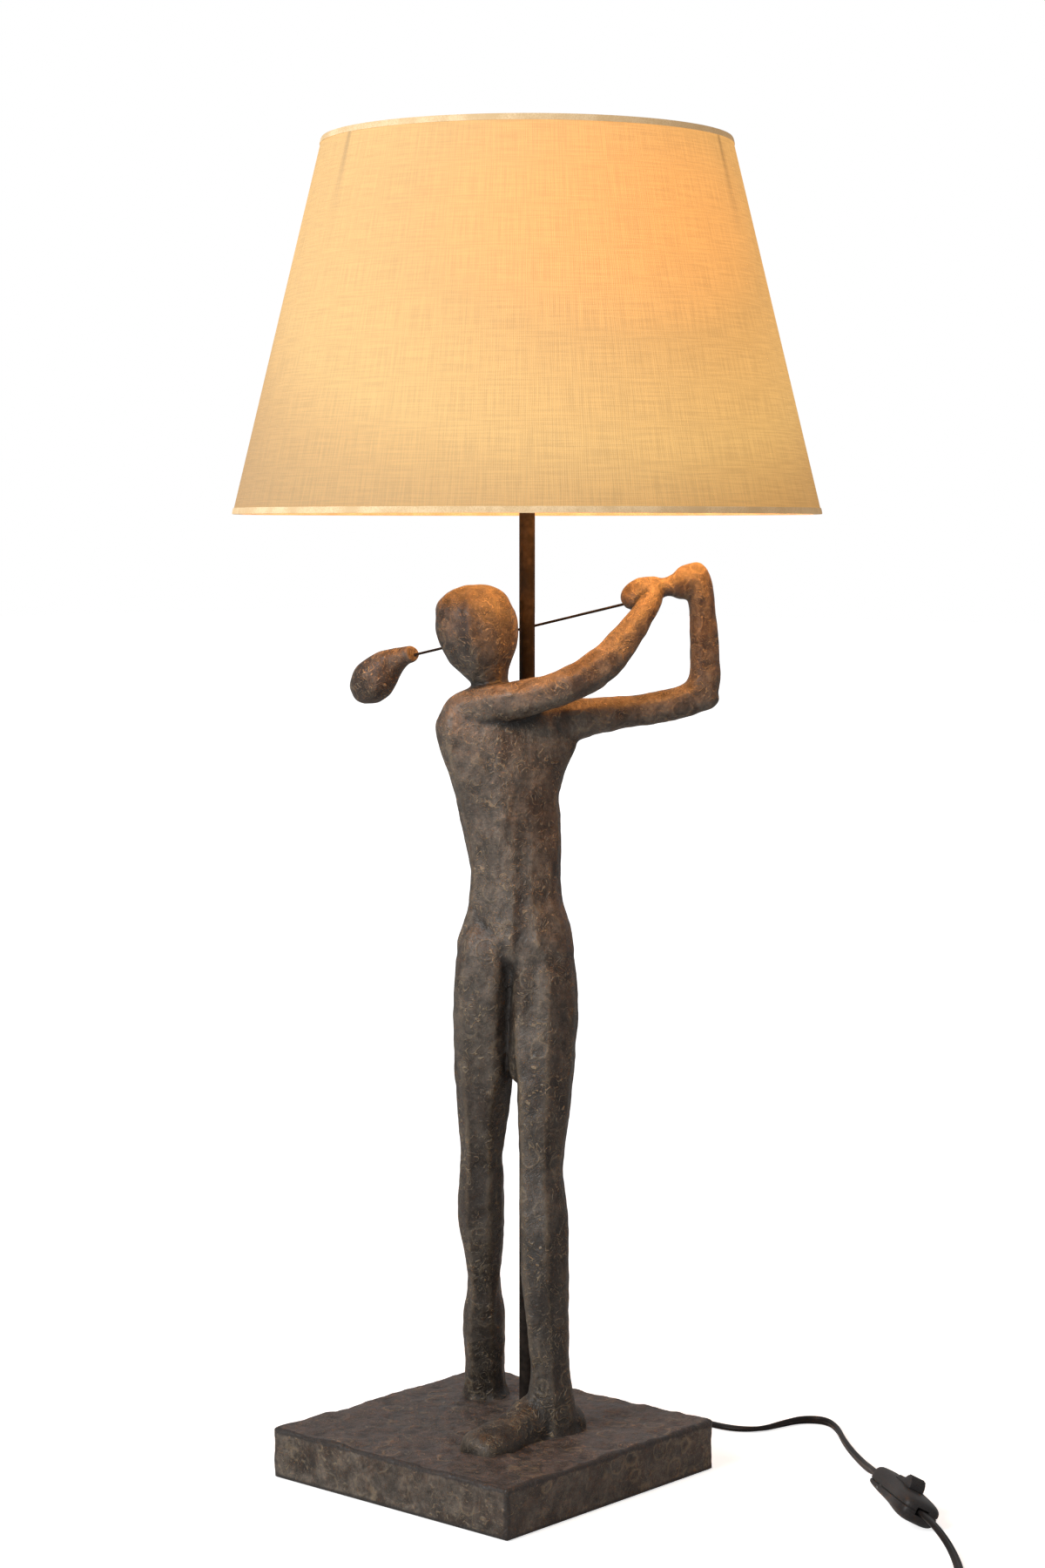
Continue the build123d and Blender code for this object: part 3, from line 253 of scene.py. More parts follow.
# The shade's three arms: degrees from one to the next, and where the first one points.
ARM_PITCH, ARM_TURN = 120, 15.4
# The arms' shadows begin here, are narrow at the next height and fully dark at the last.
SHADOW_START, SHADOW_NARROW, SHADOW_FULL = 0.73, 0.79, 0.785


def cast_resin(name, settings, brushed, medals, stretch, crest, tops):
    """Cold-cast resin, stained dark and dry-brushed: satin wax, thin tan strokes, dark wax in the creases, and
    painted shade in the creases and hollows.
    """
    material, tree = blank_material(name)
    place = add(tree, "TexCoord").outputs["Object"]
    umber, stone, wax_and_shade = settings.umber[:], settings.stone[:], settings.wax_and_shade[:]
    # The stain runs in broad bands of umber and grey, about 15 mm wide.
    banded = add(tree, "Mapping", {"Vector": place, "Scale": stretch})
    broad = add(tree, "TexNoise", {"Vector": banded, "Scale": 34.0, "Detail": 4.0, "Roughness": 0.6})
    ground = add(tree, "ValToRGB", {0: broad}, stops=(
        (0.38, umber), (0.49, stone), (0.55, stone), (0.62, umber),
    ))
    ground = tops(tree, place, ground, settings)
    # Mottle of about 2 mm from the wiped stain, and cloudy patches of about 8 mm where the wax is thinner.
    mottle = add(tree, "TexNoise", {"Vector": place, "Scale": 420.0, "Detail": 4.0, "Roughness": 0.7})
    cloud = add(tree, "TexNoise", {"Vector": place, "Scale": 105.0, "Detail": 3.0, "Distortion": 0.6})
    for patches, start, end, dark in ((mottle, 0.36, 0.64, 0.62), (cloud, 0.36, 0.62, 0.6)):
        dim = add(tree, "MapRange", {0: patches, 1: start, 2: end, 3: dark, 4: 1.3})
        ground = add(tree, "VectorMath", {0: ground, 3: dim}, operation="SCALE")
    # Strokes are contour lines of a soft field: about 1.8 mm apart and 0.7 mm wide, so that they show.
    field = add(tree, "TexNoise", {
        "Vector": place, "Scale": 105.0, "Detail": 1.0, "Roughness": 0.4, "Distortion": 0.9,
    })
    stroke = add(tree, "Math", {0: field, 1: 26.0}, operation="MULTIPLY")
    for operation in ("SINE", "ABSOLUTE"):
        stroke = add(tree, "Math", {0: stroke}, operation=operation)
    stroke = add(tree, "MapRange", {
        0: stroke, 1: 0.05, 2: 0.5, 3: 1.0, 4: 0.0,
    }, interpolation_type="SMOOTHSTEP")
    # They gather in leafy clusters of about 10 mm, and break off about every 2 mm.
    cluster = add(tree, "TexNoise", {"Vector": place, "Scale": 62.0, "Detail": 2.0, "Roughness": 0.55})
    cluster = add(tree, "MapRange", {
        0: cluster, 1: 0.43, 2: 0.56, 3: 0.1, 4: 1.0,
    }, interpolation_type="SMOOTHSTEP")
    broken = add(tree, "TexNoise", {"Vector": place, "Scale": 420.0, "Detail": 1.0})
    broken = add(tree, "MapRange", {0: broken, 1: 0.38, 2: 0.5})
    for mask in (cluster, broken):
        stroke = add(tree, "Math", {0: stroke, 1: mask}, operation="MULTIPLY")
    # Stamped rounds of about 13 mm, in patches.
    bend = add(tree, "TexNoise", {"Vector": place, "Scale": 150.0, "Detail": 2.0}).outputs["Color"]
    warped = add(tree, "MixRGB", {0: 0.0045, 1: place, 2: bend}, blend_type="ADD")
    stamp = add(tree, "TexVoronoi", {"Vector": warped, "Scale": 58.0}, feature="F1").outputs["Distance"]
    rim = add(tree, "Math", {0: stamp, 1: 0.36}, operation="SUBTRACT")
    rim = add(tree, "Math", {0: rim}, operation="ABSOLUTE")
    rim = add(tree, "MapRange", {
        0: rim, 1: 0.0, 2: 0.075, 3: medals, 4: 0.0,
    }, interpolation_type="SMOOTHSTEP")
    pressed = add(tree, "TexNoise", {"Vector": place, "Scale": 30.0, "Detail": 1.0})
    pressed = add(tree, "MapRange", {0: pressed, 1: 0.44, 2: 0.54})
    rim = add(tree, "Math", {0: rim, 1: pressed}, operation="MULTIPLY")
    # Specks of about 0.8 mm from the mould.
    specks = add(tree, "TexNoise", {"Vector": place, "Scale": 900.0, "Detail": 2.0, "Roughness": 0.6})
    dots = add(tree, "MapRange", {0: specks, 1: 0.54, 2: 0.7})
    raised = add(tree, "Math", {0: stroke, 1: rim}, operation="MAXIMUM")
    relief = add(tree, "Math", {0: dots, 1: 0.5, 2: raised}, operation="MULTIPLY_ADD")
    high = add(tree, "MapRange", {0: relief, 1: 0.15, 2: 1.1, 3: 0.0, 4: brushed})
    # Stain stays in the creases, which painted shade darkens further; the broader hollows, such as the gap
    # between the legs, are darkened by painted shade alone; the wiped edges are worn light, or dark where they
    # were left.
    form = add(tree, "Attribute", attribute_name="form").outputs["Fac"]
    deep = add(tree, "Attribute", attribute_name="deep").outputs["Fac"]
    crease_wax_and_shade = add(tree, "MapRange", {0: form, 1: -0.012, 2: -0.06, 3: 0.0, 4: 0.85})
    edge = add(tree, "MapRange", {0: form, 1: 0.02, 2: 0.08, 3: 0.0, 4: crest[0]})
    # Painted shade where the skin lies below its smoothed form.
    hollow = add(tree, "MapRange", {0: deep, 1: 0.25, 2: -1.3, 3: 0.0, 4: 0.92})
    tinted = ground
    for share, tint in (
        (high, settings.relief[:]), (crease_wax_and_shade, wax_and_shade), (edge, linear(crest[1])), (hollow, wax_and_shade),
    ):
        tinted = add(tree, "Mix", {0: share, 6: tinted, 7: tint}, data_type="RGBA").outputs[2]
    gloss = add(tree, "MapRange", {0: cloud, 1: 0.3, 2: 0.7, 3: 0.36, 4: 0.56})
    height = relief
    for pattern, amount in ((mottle, 0.8), (cloud, 3.0)):
        height = add(tree, "Math", {0: pattern, 1: amount, 2: height}, operation="MULTIPLY_ADD")
    bump = add(tree, "Bump", {"Height": height, "Distance": 0.0004, "Strength": 0.9})
    shader = add(tree, "BsdfPrincipled", {
        "Base Color": tinted, "Roughness": gloss, "Normal": bump, "Specular IOR Level": 0.5, "IOR": 1.5,
    })
    add(tree, "OutputMaterial", {"Surface": shader})
    return material


def plum_top(tree, place, ground, settings):
    """The plinth's top is stained violet-brown."""
    height = add(tree, "SeparateXYZ", {0: place}).outputs[2]
    share = add(tree, "MapRange", {0: height, 1: PLUM_START, 2: PLUM_FULL, 3: 0.0, 4: 0.8})
    return add(tree, "Mix", {0: share, 6: ground, 7: settings.plum[:]}, data_type="RGBA").outputs[2]


def painted_shade_legs_head(tree, place, ground, settings):
    """Painted shade: the figure is darker on its head and towards its feet."""
    height = add(tree, "SeparateXYZ", {0: place}).outputs[2]
    share = add(tree, "MapRange", {0: height, 1: LEGS_START, 2: LEGS_FULL, 3: 0.0, 4: 0.6})
    crown_shade = add(tree, "VectorMath", {0: place, 1: HEAD_MIDDLE}, operation="DISTANCE").outputs["Value"]
    crown_shade = add(tree, "MapRange", {0: crown_shade, 1: HEAD_START, 2: HEAD_FULL, 3: 0.0, 4: 0.45})
    share = add(tree, "Math", {0: share, 1: crown_shade}, operation="MAXIMUM")
    return add(tree, "Mix", {0: share, 6: ground, 7: settings.wax_and_shade[:]}, data_type="RGBA").outputs[2]


def mark_form(piece, rounds, broad):
    """Store two measures for the stain and the painted shade: form, how the skin bends, and deep, its height in
    millimetres.
    """
    mesh = piece.data
    size = len(mesh.vertices)
    places, normals = np.empty(size * 3), np.empty(size * 3)
    mesh.vertices.foreach_get("co", places)
    mesh.vertex_normals.foreach_get("vector", normals)
    places, normals = places.reshape(-1, 3), normals.reshape(-1, 3)
    ends = np.empty(len(mesh.edges) * 2, dtype=np.int32)
    mesh.edges.foreach_get("vertices", ends)
    start, end = ends.reshape(-1, 2).T
    count = np.bincount(ends, minlength=size) + 1e-9

    def near(values):
        """The mean of the neighbours' values at each point."""
        return (np.bincount(start, values[end], size) + np.bincount(end, values[start], size)) / count

    # Form is above zero on a ridge and below zero in a groove, softened over a few points.
    way = places[end] - places[start]
    way /= np.linalg.norm(way, axis=1)[:, None] + 1e-12
    form = np.bincount(end, (way * normals[end]).sum(1), size)
    form -= np.bincount(start, (way * normals[start]).sum(1), size)
    form /= count
    for _ in range(rounds):
        form = (form + near(form)) / 2
    # Deep is how far a point stands above the same skin smoothed over about 10 mm.
    smooth = places.copy()
    for _ in range(broad):
        smooth = np.stack([near(smooth[:, i]) for i in range(3)], axis=1)
    deep = ((places - smooth) * normals).sum(1) / MM
    for name, values in (("form", form), ("deep", deep)):
        mesh.attributes.new(name, "FLOAT", "POINT").data.foreach_set("value", values)


def plain_finish(name, hex_colour, hex_worn, metallic, roughness, grain, bump, specular=0.5):
    """A hard surface with soft colour drift, fine grain or brushing, and uneven gloss."""
    material, tree = blank_material(name)
    place = add(tree, "TexCoord").outputs["Object"]
    drift = add(tree, "TexNoise", {"Vector": place, "Scale": 70.0, "Detail": 3.0})
    fine = add(tree, "TexNoise", {"Vector": place, "Scale": grain, "Detail": 4.0, "Roughness": 0.6})
    shade = add(tree, "Math", {0: drift, 1: fine}, operation="MULTIPLY")
    tint = add(tree, "ValToRGB", {0: shade}, stops=((0.18, linear(hex_worn)), (0.34, linear(hex_colour))))
    gloss = add(tree, "MapRange", {0: drift, 1: 0.3, 2: 0.7, 3: roughness * 0.85, 4: roughness * 1.15})
    normal = add(tree, "Bump", {"Height": fine, "Distance": bump, "Strength": 0.6})
    shader = add(tree, "BsdfPrincipled", {
        "Base Color": tint, "Roughness": gloss, "Normal": normal, "Metallic": metallic,
        "Specular IOR Level": specular,
    })
    add(tree, "OutputMaterial", {"Surface": shader})
    return material


def lit_linen(settings):
    """Slubby plain-weave linen on a clear backing, lit from behind by a warm bulb."""
    material, tree = blank_material("linen_plain_weave_lit")
    flat = add(tree, "UVMap", uv_map="cloth")
    place = add(tree, "TexCoord").outputs["Object"]
    pitch = 2 * pi / settings.thread
    # Each thread wanders a little and thickens into slubs, as hand-spun yarn does.
    wander = add(tree, "TexNoise", {"Vector": flat, "Scale": 60.0, "Detail": 2.0}, noise_dimensions="2D")
    wound = add(tree, "MixRGB", {0: 0.0012, 1: flat, 2: wander.outputs["Color"]}, blend_type="ADD")
    parts = add(tree, "SeparateXYZ", {0: wound})
    threads = []
    for way in parts.outputs[:2]:
        thread = add(tree, "Math", {0: way, 1: pitch}, operation="MULTIPLY")
        threads.append(add(tree, "Math", {0: thread}, operation="SINE"))
    weave = add(tree, "Math", dict(enumerate(threads)), operation="ADD")
    # Slubs: streaks 0.9 mm wide and about 25 mm long, one way and the other.
    slubs = []
    for scale in ((40.0, 1100.0, 1.0), (1100.0, 40.0, 1.0)):
        long = add(tree, "Mapping", {"Vector": flat, "Scale": scale})
        slubs.append(add(tree, "TexNoise", {
            "Vector": long, "Scale": 1.0, "Detail": 2.0,
        }, noise_dimensions="2D"))
    slub = add(tree, "Math", dict(enumerate(slubs)), operation="ADD")
    thin = add(tree, "MapRange", {0: slub, 1: 0.75, 2: 1.25, 3: 0.88, 4: 1.1})
    # The glow falls off from where the bulb leans closest to the cloth.
    far = add(tree, "VectorMath", {0: place, 1: CLOTH_GLOW}, operation="DISTANCE").outputs["Value"]
    far = add(tree, "MapRange", {0: far, 1: 0.09, 2: 0.24})
    # The frame's arms shade the cloth below the upper edge.
    x, y, z = add(tree, "SeparateXYZ", {0: place}).outputs
    turn = add(tree, "Math", {0: y, 1: x}, operation="ARCTAN2")
    for operation, degrees in (
        ("ADD", ARM_PITCH / 2 - ARM_TURN + 360), ("MODULO", ARM_PITCH), ("SUBTRACT", ARM_PITCH / 2),
        ("ABSOLUTE", 0),
    ):
        turn = add(tree, "Math", {0: turn, 1: radians(degrees)}, operation=operation)
    wide = add(tree, "MapRange", {0: z, 1: SHADOW_START, 2: SHADOW_NARROW, 3: 0.075, 4: 0.022})
    streak = add(tree, "MapRange", {
        0: turn, 1: 0.0, 2: wide, 3: 1.0, 4: 0.0,
    }, interpolation_type="SMOOTHSTEP")
    dark = add(tree, "MapRange", {0: z, 1: SHADOW_START, 2: SHADOW_FULL, 3: 0.0, 4: 0.38})
    streak = add(tree, "Math", {0: streak, 1: dark}, operation="MULTIPLY")
    light = add(tree, "Math", {0: 1.0, 1: streak}, operation="SUBTRACT")
    for share in (thin, settings.strength):
        light = add(tree, "Math", {0: light, 1: share}, operation="MULTIPLY")
    # Stops: share of the distance, brightness, and how far the light has turned from amber to cream.
    glow = add(tree, "ValToRGB", {0: far}, stops=tuple(
        (share, (*(level * channel * (1 + pale * i) for i, channel in enumerate(settings.glow[:3])), 1.0))
        for share, level, pale in (
            (0.02, 0.97, 0), (0.09, 0.89, 0.07), (0.17, 0.77, 0.18), (0.3, 0.78, 0.26), (0.47, 0.74, 0.32),
            (0.67, 0.56, 0.24), (0.84, 0.45, 0.2), (1.0, 0.42, 0.18),
        )
    ))
    tint = add(tree, "Mix", {
        0: thin, 6: linear("#776e5c"), 7: settings.cloth[:],
    }, data_type="RGBA").outputs[2]
    bump = add(tree, "Bump", {"Height": weave, "Distance": 0.00012, "Strength": 0.5})
    shader = add(tree, "BsdfPrincipled", {
        "Base Color": tint, "Roughness": 0.9, "Normal": bump, "Sheen Weight": 0.12, "Sheen Roughness": 0.5,
        "Emission Color": glow, "Emission Strength": light, "Specular IOR Level": 0.2,
    })
    add(tree, "OutputMaterial", {"Surface": shader})
    return material


def lit_lining(settings):
    """Smooth white styrene film behind the linen, bright with the bulb's light."""
    material, tree = blank_material("styrene_lining_lit")
    place = add(tree, "TexCoord").outputs["Object"]
    film = add(tree, "TexNoise", {"Vector": place, "Scale": 300.0, "Detail": 3.0})
    tint = add(tree, "ValToRGB", {0: film}, stops=((0.4, linear("#e6dcc4")), (0.6, linear("#efe7d3"))))
    bump = add(tree, "Bump", {"Height": film, "Distance": 0.00004, "Strength": 0.4})
    # It sends the light of its brightest patch down on the figure's front and hands.
    far = add(tree, "VectorMath", {0: place, 1: LINING_GLOW}, operation="DISTANCE").outputs["Value"]
    lit = add(tree, "MapRange", {0: far, 1: 0.05, 2: 0.2, 3: settings.bounce, 4: settings.bounce * 0.06})
    shader = add(tree, "BsdfPrincipled", {
        "Base Color": tint, "Roughness": 0.5, "Normal": bump, "Emission Color": settings.glow[:],
        "Emission Strength": lit,
    })
    add(tree, "OutputMaterial", {"Surface": shader})
    return material


# ======== lead ========
# The route's points in millimetres, as in the part's source: plinth to switch, then switch to coil.
TO_SWITCH = (
    (0, 69.2, 9.2), (0, 84, 9.2), (6, 104, 3.0), (22, 116, 1.7), (46, 116, 1.7), (69, 117, 1.7),
    (82, 128, 1.7), (86, 145, 2.4), (90, 160, 2.7), (103, 168, 2.7), (119, 158, 2.7), (138, 138, 2.7),
    (158, 120, 2.7), (180, 101.5, 3.6), (198, 84, 8), (209, 74, 11), (220, 66.1, 11.2),
)
FROM_SWITCH = (
    (269.3, 28.2, 11.2), (279, 21.5, 11), (292, 13.0, 9), (304, 5, 5.4), (316, -6, 2.6), (327, -19, 1.7),
    (340, -35, 1.7), (352.72, -49.02, 1.7),
)
# The coil, in millimetres and degrees: where it starts and heads for, its largest half width, how far a turn
# lies inside the one before, its half turns on each layer, and the half width of its last turn.
COIL_START = (372.0, -72.0)
COIL_HEADING = -50.0
COIL_REACH = 40.0
COIL_STEP = 5.8
COIL_TURNS_IN = 7
COIL_TURNS_OUT = 6
COIL_EXIT_REACH = 43.0
# Heights of the lead's middle: on the floor, on the coil's second layer and where it leaves the coil.
ON_FLOOR, ON_COIL, OFF_COIL = 1.7, 5.1, 7.0
# Control points to each half turn, and how far inside them the smooth line runs, as a share.
COIL_POINTS = 6
COIL_INSIDE = 0.966
# The half turns over which it climbs off the coil, and its last points, before and after it has left.
COIL_CLIMB = 1.6
COIL_TAIL = (-2, 4.2)
# The lead's roll: pairs of a share of its length and degrees.
NEAR_TWISTS = ((0.0, 0.0), (0.3, 0.0), (0.5, 70.0), (0.86, 88.0), (0.97, 28.0), (1.0, 28.0))
FAR_TWISTS = ((0.0, 28.0), (0.03, 24.0), (0.09, 0.0), (1.0, 0.0))
# Height of the groove between the cores, as a share of a core's radius, and the outline's step in the UV map.
GROOVE = 0.74
OUTLINE_STEP = 0.0008


def coil_stop(index):
    """Centre line's side and reach after a number of half turns, in millimetres."""
    inward = min(index, COIL_TURNS_IN)
    outward = max(index - COIL_TURNS_IN - 1, 0)
    reach = COIL_REACH - COIL_STEP / 2 * (inward - outward)
    if outward == COIL_TURNS_OUT:
        reach = COIL_EXIT_REACH
    return (1 if index % 2 == 0 else -1) * reach


def coil_points():
    """The coil's control points, in along the floor and out again on top."""
    heading = Vector((cos(radians(COIL_HEADING)), sin(radians(COIL_HEADING)), 0))
    side = Vector((heading.y, -heading.x, 0))
    middle = Vector((*COIL_START, 0)) + side * COIL_REACH
    points = []
    last = COIL_TURNS_IN + COIL_TURNS_OUT + 1
    for index in range(last):
        start, end = coil_stop(index), coil_stop(index + 1)
        centre, reach = (start + end) / 2, (start - end) / 2
        for step in range(COIL_POINTS):
            turn = (step + 0.5) * pi / COIL_POINTS
            where = middle - side * (centre + reach * cos(turn) / COIL_INSIDE)
            where += heading * abs(reach) * sin(turn) / COIL_INSIDE * (1 if start > 0 else -1)
            where.z = ON_FLOOR
            if index > COIL_TURNS_IN:
                rise = max(0.0, (index + step / COIL_POINTS - last + COIL_CLIMB) / COIL_CLIMB)
                where.z = ON_COIL + (OFF_COIL - ON_COIL) * rise
            elif index == COIL_TURNS_IN:
                where.z = ON_FLOOR + (ON_COIL - ON_FLOOR) * (step + 0.5) / COIL_POINTS
            points.append(where)
    tail = middle - side * coil_stop(last)
    tail.z = OFF_COIL
    way = heading * (1 if last % 2 == 0 else -1)
    return points + [tail + way * reach for reach in COIL_TAIL]


def route_line(points):
    """Points read back from a smooth spline through a route given in millimetres."""
    curve = bpy.data.curves.new("route", "CURVE")
    curve.dimensions = "3D"
    spline = curve.splines.new("NURBS")
    spline.points.add(len(points) - 1)
    for point, place in zip(spline.points, points):
        point.co = (*(Vector(place) * MM), 1.0)
    spline.order_u = 3
    spline.use_endpoint_u = True
    spline.resolution_u = 8
    carrier = new_object("route", curve)
    mesh = bpy.data.meshes.new_from_object(carrier)
    line = [vertex.co.copy() for vertex in mesh.vertices]
    bpy.data.objects.remove(carrier)
    bpy.data.curves.remove(curve)
    bpy.data.meshes.remove(mesh)
    return line


def lead_section(width, thickness):
    """The outline of two cores side by side with a shallow groove between, in steps of 36 degrees."""
    core = thickness / 2
    offset = width / 2 - core
    outline = []
    for sign in (1, -1):
        for turn in map(radians, range(-108, 109, 36)):
            outline.append((sign * (offset + core * cos(turn)), sign * core * sin(turn)))
        outline.append((0.0, sign * core * GROOVE))
    return outline


def lead_tube(name, line, settings, twists):
    """A flat twin lead along a line. twists are pairs of a share of its length and a roll in degrees."""
    outline = lead_section(settings.width, settings.thickness)
    travelled = [0.0]
    for start, end in zip(line, line[1:]):
        travelled.append(travelled[-1] + (end - start).length)
    shape = bmesh.new()
    uv = shape.loops.layers.uv.new("lead")
    rings = []
    for index, place in enumerate(line):
        ahead = line[min(index + 1, len(line) - 1)] - line[max(index - 1, 0)]
        side = ahead.cross(Vector((0, 0, 1))).normalized()
        up = side.cross(ahead).normalized()
        share = travelled[index] / travelled[-1]
        roll = radians(twist_at(share, twists))
        wide = side * cos(roll) + up * sin(roll)
        thick = up * cos(roll) - side * sin(roll)
        rings.append([shape.verts.new(place + wide * x + thick * y) for x, y in outline])
    count = len(outline)
    for step, (ring, after) in enumerate(zip(rings, rings[1:])):
        for k in range(count):
            n = (k + 1) % count
            face = shape.faces.new((ring[k], after[k], after[n], ring[n]))
            face.smooth = True
            corners = ((step, k), (step + 1, k), (step + 1, k + 1), (step, k + 1))
            for loop, (u, v) in zip(face.loops, corners):
                loop[uv].uv = (travelled[u], v * OUTLINE_STEP)
    shape.faces.new(rings[0])
    shape.faces.new(reversed(rings[-1]))
    return piece_from(name, shape), travelled[-1]


def twist_at(share, twists):
    """The roll at a share of the lead's length, eased between the given pairs."""
    for (start, before), (end, after) in zip(twists, twists[1:]):
        if share <= end:
            t = (share - start) / (end - start)
            return before + (after - before) * t * t * (3 - 2 * t)
    return twists[-1][1]


# The switch's own frame: its middle, the way the lead runs through it, its side and its leaning top.
SWITCH_MIDDLE = Vector((0.2455, 0.0465, 0.0112))
SWITCH_TURN = radians(-37.5)
SWITCH_LEAN = radians(28.0)
SWITCH_ALONG = Vector((cos(SWITCH_TURN), sin(SWITCH_TURN), 0))
SWITCH_UP = Vector((
    -sin(SWITCH_TURN) * sin(SWITCH_LEAN), cos(SWITCH_TURN) * sin(SWITCH_LEAN), cos(SWITCH_LEAN),
))
SWITCH_SIDE = SWITCH_UP.cross(SWITCH_ALONG)


def in_switch(along, side, up):
    """A place in the lamp from millimetres in the switch's own frame."""
    return SWITCH_MIDDLE + (SWITCH_ALONG * along + SWITCH_SIDE * side + SWITCH_UP * up) * MM


# The switch from its back end to its front: along, half width, bottom, parting line, top.
SWITCH_ROWS = (
    (-36, 5.6, -4, -2.6, 3.4), (-35.3, 7.6, -5.4, -2.8, 5), (-33.4, 8.7, -6.2, -2.9, 6),
    (-27, 9, -6.8, -2.8, 6.5), (-17, 9.1, -7.2, -2.4, 6.9), (-7, 9.4, -7.3, -1.9, 7.2),
    (2, 10.2, -7.4, -1.3, 7.3), (11, 11.4, -7.8, -0.7, 7.1), (19, 12.2, -8.2, -0.3, 6.8),
    (25.5, 12, -8.2, -0.1, 6.3), (29.4, 11.2, -7.6, 0, 5.5), (31.8, 9.8, -6.4, 0, 4.3), (33, 7.6, -4.8, 0, 3),
)
# Its openings, along, sideways and up: the rocker's window and the lead's two mouths.
SWITCH_OPENINGS = (
    ((-10.4, 13.6), (-5.5, 5.5), (-2.7, 20)),
    ((29.4, 40), (-3.8, 3.8), (-2.3, 2.3)),
    ((-40, -32), (-3.4, 3.4), (-2.2, 2.2)),
)
# The screws' recesses in its underside: where each one's middle is, its radius and its depth.
SCREW_PLACES = ((-20.5, -3.6, -9.3), (-20.5, 3.6, -9.3))
SCREW_RECESS, SCREW_DEPTH = 2.6, 6
# The rocker's side: along and up, its front lobe raised and ribbed.
ROCKER_SIDE = (
    (-8.8, 4.2), (-9.2, 7.4), (-8.4, 9.2), (-6.4, 9.4), (-3, 8.6), (-0.6, 9.4), (1, 11), (2.4, 12.3),
    (3.9, 13), (4.3, 13.5), (5.4, 13.6), (5.8, 13.2), (6.9, 13.2), (7.3, 13.5), (8.4, 12.9), (8.7, 12.4),
    (10, 11.4), (11, 9.8), (11.5, 7.6), (11.2, 4.6), (8, 3.4), (-4, 3.4),
)
ROCKER_ACROSS = (-4.8, -1.6, 1.6, 4.8)
# A half's section: its chamfer and gap at the parting line, and how square it is, where 1 would be round.
CHAMFER_IN, CHAMFER_UP, PARTING_GAP = 0.6, 0.7, 0.1
SQUARE_ACROSS, SQUARE_UP = 0.55, 0.6
HALF_STEPS = 18


def switch_half(name, below):
    """One half of the switch: a softly rounded shell with a chamfer along the parting line."""
    shape = bmesh.new()
    rings = []
    for along, wide, low, split, high in eased(SWITCH_ROWS, 4):
        reach = split - low if below else high - split
        ring = [(wide - CHAMFER_IN, PARTING_GAP)]
        for step in range(HALF_STEPS + 1):
            turn = pi * step / HALF_STEPS
            side = wide * (1 if cos(turn) > 0 else -1) * abs(cos(turn)) ** SQUARE_ACROSS
            ring.append((side, CHAMFER_UP + (reach - CHAMFER_UP) * sin(turn) ** SQUARE_UP))
        ring.append((CHAMFER_IN - wide, PARTING_GAP))
        rings.append([in_switch(along, side, split - up if below else split + up) for side, up in ring])
    add_skin(shape, rings)
    bmesh.ops.remove_doubles(shape, verts=shape.verts, dist=1e-6)
    return piece_from(name, shape)


def add_block(shape, along, side, up):
    """A block between two values along, sideways and up in the switch's frame."""
    corners = [in_switch(a, b, c) for a in along for b in side for c in up]
    points = [shape.verts.new(corner) for corner in corners]
    for face in ((0, 1, 3, 2), (4, 6, 7, 5), (0, 4, 5, 1), (2, 3, 7, 6), (0, 2, 6, 4), (1, 5, 7, 3)):
        shape.faces.new([points[k] for k in face])


def switch_pieces():
    """The two halves and the rocker of the switch on the lead."""
    # Moulded ABS, spark-eroded: nearly black and half matt.
    shell = plain_finish(
        "abs_moulded_black_switch", "#383636", "#272525", metallic=0.0, roughness=0.45, grain=1100.0,
        bump=0.00006, specular=0.3,
    )
    hollow = bmesh.new()
    for opening in SWITCH_OPENINGS:
        add_block(hollow, *opening)
    upright = SWITCH_UP.to_track_quat("Z", "Y").to_matrix().to_4x4()
    for place in SCREW_PLACES:
        bmesh.ops.create_cone(
            hollow, cap_ends=True, segments=28, radius1=SCREW_RECESS * MM, radius2=SCREW_RECESS * MM,
            depth=SCREW_DEPTH * MM, matrix=Matrix.Translation(in_switch(*place)) @ upright,
        )
    cutter = piece_from("switch_openings", hollow)
    pieces = []
    for name, below, node in (
        ("switch_lower_half", True, "switch_base"), ("switch_upper_half", False, "switch_cover"),
    ):
        piece = switch_half(name, below)
        apply_modifier(piece, "BOOLEAN", operation="DIFFERENCE", object=cutter, solver="EXACT")
        pieces.append((piece, "lamp", node))
    bpy.data.objects.remove(cutter)
    shape = bmesh.new()
    add_skin(shape, [[in_switch(x, side, z) for x, z in ROCKER_SIDE] for side in ROCKER_ACROSS])
    rocker = piece_from("switch_rocker_button", shape)
    apply_modifier(rocker, "BEVEL", width=0.0009, segments=3, limit_method="ANGLE", angle_limit=radians(55))
    pieces.append((rocker, "rocker", "switch_rocker"))
    for piece, body, node in pieces:
        smooth_under(piece, 38)
        finish_with(shell, piece)
        settle(piece, body, "black_plastic", node)
    return [piece for piece, _, _ in pieces]


class LAMP_OT_lead(bpy.types.Operator):
    """Lay the flat twin lead from the plinth through the switch to the coil and plug"""

    bl_idname = "lamp.lead"
    bl_label = "Lead"

    def execute(self, context):
        settings = context.scene.lamp_lead
        # Extruded soft PVC: black, with a low, even shine.
        rubber = plain_finish(
            "pvc_flex_black", "#262323", "#181616", metallic=0.0, roughness=0.38, grain=900.0, bump=0.00006,
            specular=0.2,
        )
        first = route_line(TO_SWITCH)
        second = route_line([*FROM_SWITCH, *coil_points()])
        near, near_length = lead_tube("lead_plinth_to_switch", first, settings, NEAR_TWISTS)
        far, far_length = lead_tube("lead_switch_to_plug", second, settings, FAR_TWISTS)
        settle(near, "lamp", "lead_black", "cord_to_switch")
        settle(far, "lamp", "lead_black", "cord_from_switch", "cord_coil")
        finish_with(rubber, near, far)
        switch_pieces()
        return {"FINISHED"}


